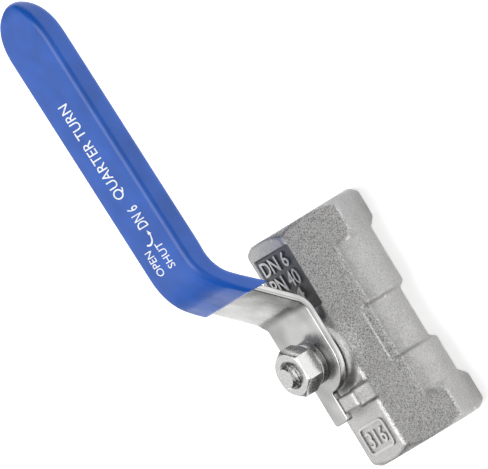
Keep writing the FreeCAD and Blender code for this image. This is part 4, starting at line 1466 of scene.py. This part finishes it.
def section(width, top, bottom, thick, rounding):
    """A rounded rectangle as (across, depth) pairs, the same number at any size."""
    middle = (top + bottom) / 2
    tall = (bottom - top) / 2 * thick
    r = max(min(rounding, width * 0.98, tall * 0.98), 1e-3)
    arcs = []
    for turn, (sx, sy) in enumerate(((1, -1), (1, 1), (-1, 1), (-1, -1))):
        swing = np.linspace(turn - 1, turn, 9) * math.pi / 2
        x = sx * (width - r) + r * np.cos(swing)
        arcs.append(np.stack([x, middle + sy * (tall - r) + r * np.sin(swing)], 1))
    points = []
    for arc, after in zip(arcs, arcs[1:] + arcs[:1]):
        points += [arc] + [[arc[-1] + (after[0] - arc[-1]) * share] for share in (0.25, 0.5, 0.75)]
    return np.concatenate(points)


def mouth_travel(size, lever):
    """Where the sleeve's mouth is, as a distance along the strap's top face."""
    ahead = 0.25  # the mouth's rolled rim
    straight = lever.first_radius * math.tan(lever.incline / 2)
    arc = lever.first_radius * lever.incline
    return lever.first_bend - straight + arc + size.mouth - straight - ahead


class VALVE_OT_sleeve(bpy.types.Operator):
    """Dipped sleeve: one shell with rounded long edges, a rolled mouth and a blunt nose"""

    bl_idname = "valve.sleeve"
    bl_label = "Grip sleeve"

    @staticmethod
    def eased(count):
        """Steps from 0 to 1 that shrink towards the end."""
        return np.sin(np.linspace(0, math.pi / 2, count))

    def execute(self, context):
        size, lever = Millimetres("sleeve"), Millimetres("lever")
        path = StrapPath(lever)
        mouth = mouth_travel(size, lever)
        outer, tip = sleeve_profile(lever, path, size.wall)
        inner, inner_tip = sleeve_profile(lever, path, 0.01)
        ease = 0.3
        rings = []

        def ring(travel, profile, rounding, pull=0.0):
            width, top, bottom, thick = profile(np.array(travel))
            grow = float(smooth_step(travel, mouth, mouth + 8))
            shape = section(width - pull, top + pull, bottom - pull, thick, rounding)
            along = travel - shape[:, 1] * math.tan(lever.incline) * (1 - grow)
            return path.place(along, shape[:, 0], shape[:, 1])

        for lag in (1.0, 0.6, 0.25):
            pull = ease * (1 - math.sqrt(max(0.0, 1 - lag * lag)))
            rings.append(ring(mouth + ease * (1 - lag), outer, size.rounding * 0.8, pull))
        nose = lever.nose + 1.5
        straight = np.linspace(mouth + ease, tip - nose, 190)
        for travel in [*straight, *(tip - nose * (1 - self.eased(26)[1:-1]))]:
            grow = float(smooth_step(travel, mouth, mouth + 6))
            rings.append(ring(travel, outer, size.rounding * (0.8 + 0.2 * grow)))
        inside = []
        nose = lever.nose + 1
        straight = np.linspace(mouth + 0.6, inner_tip - nose, 60)
        for travel in [mouth, *straight, *(inner_tip - nose * (1 - self.eased(14)[1:-1]))]:
            inside.append(ring(travel, inner, 0.25))
        order = list(reversed(inside)) + rings
        count = len(order[0])
        points = np.concatenate(order)
        faces = []
        for i in range(len(order) - 1):
            for k in range(count):
                a, b = i * count + k, i * count + (k + 1) % count
                faces.append((a, b, b + count, a + count))
        points = list(points)
        for index, travel in ((0, inner_tip - 0.02), (len(order) - 1, tip - 0.002)):
            width, top, bottom, thick = outer(np.array(travel))
            points.append(path.place(travel, 0.0, (top + bottom) / 2))
            base = index * count
            for k in range(count):
                a, b = base + k, base + (k + 1) % count
                faces.append((a, b, len(points) - 1) if index else (b, a, len(points) - 1))
        obj = new_object("dipped_sleeve", mesh_from("dipped_sleeve", points, faces))
        with editing(obj) as build:
            bmesh.ops.remove_doubles(build, verts=build.verts, dist=1e-7)
            face_outwards(build)
        finish_piece(obj, TURNING, "blue_vinyl", dipped_vinyl(), "grip_sleeve", sharp=60)
        return {"FINISHED"}


def arc_arrow(middle, radius, line, start, end):
    """The outline of a curved arrow, counter-clockwise."""
    swing = np.radians(np.linspace(start, end, 12))
    tip = swing[-1] + 2.6 * line / radius
    rim = [(radius + line / 2, t) for t in swing]
    head = [(radius + 1.6 * line, swing[-1]), (radius, tip), (radius - 1.6 * line, swing[-1])]
    rim += head + [(radius - line / 2, t) for t in swing[::-1]]
    return [round_point(r, t, middle) for r, t in rim]


# the words, where they start and end along the bore, their foot across it, and their height
PRINT_LINES = (
    ("OPEN", 23.2, 27.4, 0.9, 1.95),
    ("SHUT", 23.5, 27.9, -2.6, 1.95),
    ("DN 6", 30.9, 34.6, -2.3, 2.9),
    ("QUARTER TURN", 36.4, 53.2, -1.7, 3.2),
)


class VALVE_OT_print(bpy.types.Operator):
    """Generic lettering and a quarter-turn arrow printed on the sleeve"""

    bl_idname = "valve.print"
    bl_label = "Sleeve print"

    def execute(self, context):
        size, lever = Millimetres("sleeve"), Millimetres("lever")
        path = StrapPath(lever)
        low, high = -0.05, 1.0  # underside and top of the letters while they are flat
        pieces = []
        for words, start, end, foot, tall in PRINT_LINES:
            begin, finish = path.travel_to(start), path.travel_to(end)
            origin, width = (begin, foot, 0), finish - begin
            pieces.append(raised_text(words, tall, width, origin, (1, 0, 0), (0, 1, 0), (low, high)))
        outline = arc_arrow((path.travel_to(29.6), 0.3), 1.5, 0.3, 150, 270)
        pieces.append(prism("arrow", outline, low, high))
        obj = new_object("sleeve_print", bpy.data.meshes.new("sleeve_print"))
        with editing(obj) as build:
            for piece in pieces:
                build.from_mesh(piece.data)
                bpy.data.objects.remove(piece)
            flat = np.array([v.co for v in build.verts]) / MM
            lift = np.where(flat[:, 2] > 0.5, size.print_height, -0.06)
            bent = path.place(flat[:, 0], flat[:, 1], -size.wall - lift)
            for vertex, point in zip(build.verts, bent):
                vertex.co = Vector(point) * MM
            face_outwards(build)
        finish_piece(obj, TURNING, "ptfe", printed_ink(), sharp=30)
        return {"FINISHED"}


# ---- the stage ------------------------------------------------------------------------------------


FLOOR_REACH = 1.5  # metres, as all the sizes of the stage
LIGHT_PLACE = (0.02, 0.0, 0.62)
LIGHT_SIZE = (0.45, 0.66)
SENSOR_WIDTH = 36.0
VIEW_RANGE = (0.01, 10.0)
DARKEST_SKY = 0.05


class VALVE_OT_stage(bpy.types.Operator):
    """Pale floor, soft lights and the camera"""

    bl_idname = "valve.stage"
    bl_label = "Stage"

    def execute(self, context):
        stage = setting("stage")
        scene = context.scene
        scene.view_settings.view_transform = "Standard"
        floor = new_object("floor", bpy.data.meshes.new("floor"))
        square = block((-FLOOR_REACH, -FLOOR_REACH), (FLOOR_REACH, FLOOR_REACH))
        floor.data.from_pydata([(x, y, CAD_BOX[0].z) for x, y in square], [], [(0, 1, 2, 3)])
        floor.data.materials.append(pale_floor())

        world = bpy.data.worlds.new("studio")
        scene.world = world
        world.use_nodes = True
        nodes, links = world.node_tree.nodes, world.node_tree.links
        background = nodes["Background"]
        background.inputs["Color"].default_value = (1.0, 1.0, 1.0, 1.0)
        wires = Wires(world.node_tree)
        x, y, z = wires.split(nodes.new("ShaderNodeTexCoord").outputs["Generated"])
        sides = wires.ramp(wires.calc("ABSOLUTE", x), 0.28, 0.64)
        sides = wires.product(sides, wires.ramp(z, 0.95, 0.75), wires.ramp(z, -0.15, 0.1))
        front = wires.ramp(y, -0.2, -0.6)
        low = wires.ramp(z, 0.3, 0.12)
        level = wires.calc("SUBTRACT", 1.0, wires.product(sides, 0.95))
        dim = wires.product(front, wires.plus(wires.product(low, 0.55), 0.25))
        level = wires.calc("MAXIMUM", wires.calc("SUBTRACT", level, dim), DARKEST_SKY)
        links.new(wires.product(level, stage.sky), background.inputs["Strength"])

        soft = bpy.data.lights.new("soft_light", "AREA")
        soft.shape = "RECTANGLE"
        soft.size, soft.size_y = LIGHT_SIZE
        soft.energy = stage.key * math.pi * soft.size * soft.size_y
        lamp = new_object("soft_light", soft)
        lamp.location = LIGHT_PLACE

        elevation, roll = stage.elevation, stage.roll
        back = Vector((0, -math.cos(elevation), math.sin(elevation)))
        level_right = Vector((1, 0, 0))
        level_up = back.cross(level_right)
        up = level_up * math.cos(roll) + level_right * math.sin(roll)
        right = up.cross(back)
        turn = Matrix((right, up, back)).transposed().to_4x4()
        camera = bpy.data.cameras.new("camera")
        camera.sensor_width = SENSOR_WIDTH
        camera.lens = SENSOR_WIDTH * stage.distance / stage.view_width
        camera.clip_start, camera.clip_end = VIEW_RANGE
        obj = new_object("camera", camera)
        aim = Vector((stage.aim_x, stage.aim_y, stage.aim_z))
        obj.matrix_world = Matrix.Translation(aim + back * stage.distance) @ turn
        scene.camera = obj
        return {"FINISHED"}


OPERATORS = (
    VALVE_OT_stage,
    VALVE_OT_body,
    VALVE_OT_insert,
    VALVE_OT_internals,
    VALVE_OT_stem,
    VALVE_OT_washer,
    VALVE_OT_nut,
    VALVE_OT_lever,
    VALVE_OT_sleeve,
    VALVE_OT_print,
)


class VALVE_PT_panel(bpy.types.Panel):
    """Sizes, colours and the buttons that build each piece"""

    bl_idname = "VALVE_PT_panel"
    bl_label = "Ball valve"
    bl_space_type = "VIEW_3D"
    bl_region_type = "UI"
    bl_category = "Valve"

    def draw(self, context):
        for operator in OPERATORS:
            self.layout.operator(operator.bl_idname)
        for name in GROUPS:
            group = getattr(context.scene.valve, name)
            box = self.layout.box()
            box.label(text=name.capitalize())
            for key in group.__annotations__:
                box.prop(group, key)


CLASSES = (*GROUPS.values(), ValveSettings, *OPERATORS, VALVE_PT_panel)


def register():
    for item in CLASSES:
        bpy.utils.register_class(item)
    bpy.types.Scene.valve = bpy.props.PointerProperty(type=ValveSettings)


def unregister():
    del bpy.types.Scene.valve
    for item in reversed(CLASSES):
        bpy.utils.unregister_class(item)


def main():
    register()
    for operator in OPERATORS:
        group, name = operator.bl_idname.split(".")
        getattr(getattr(bpy.ops, group), name)()


if __name__ == "__main__":
    main()
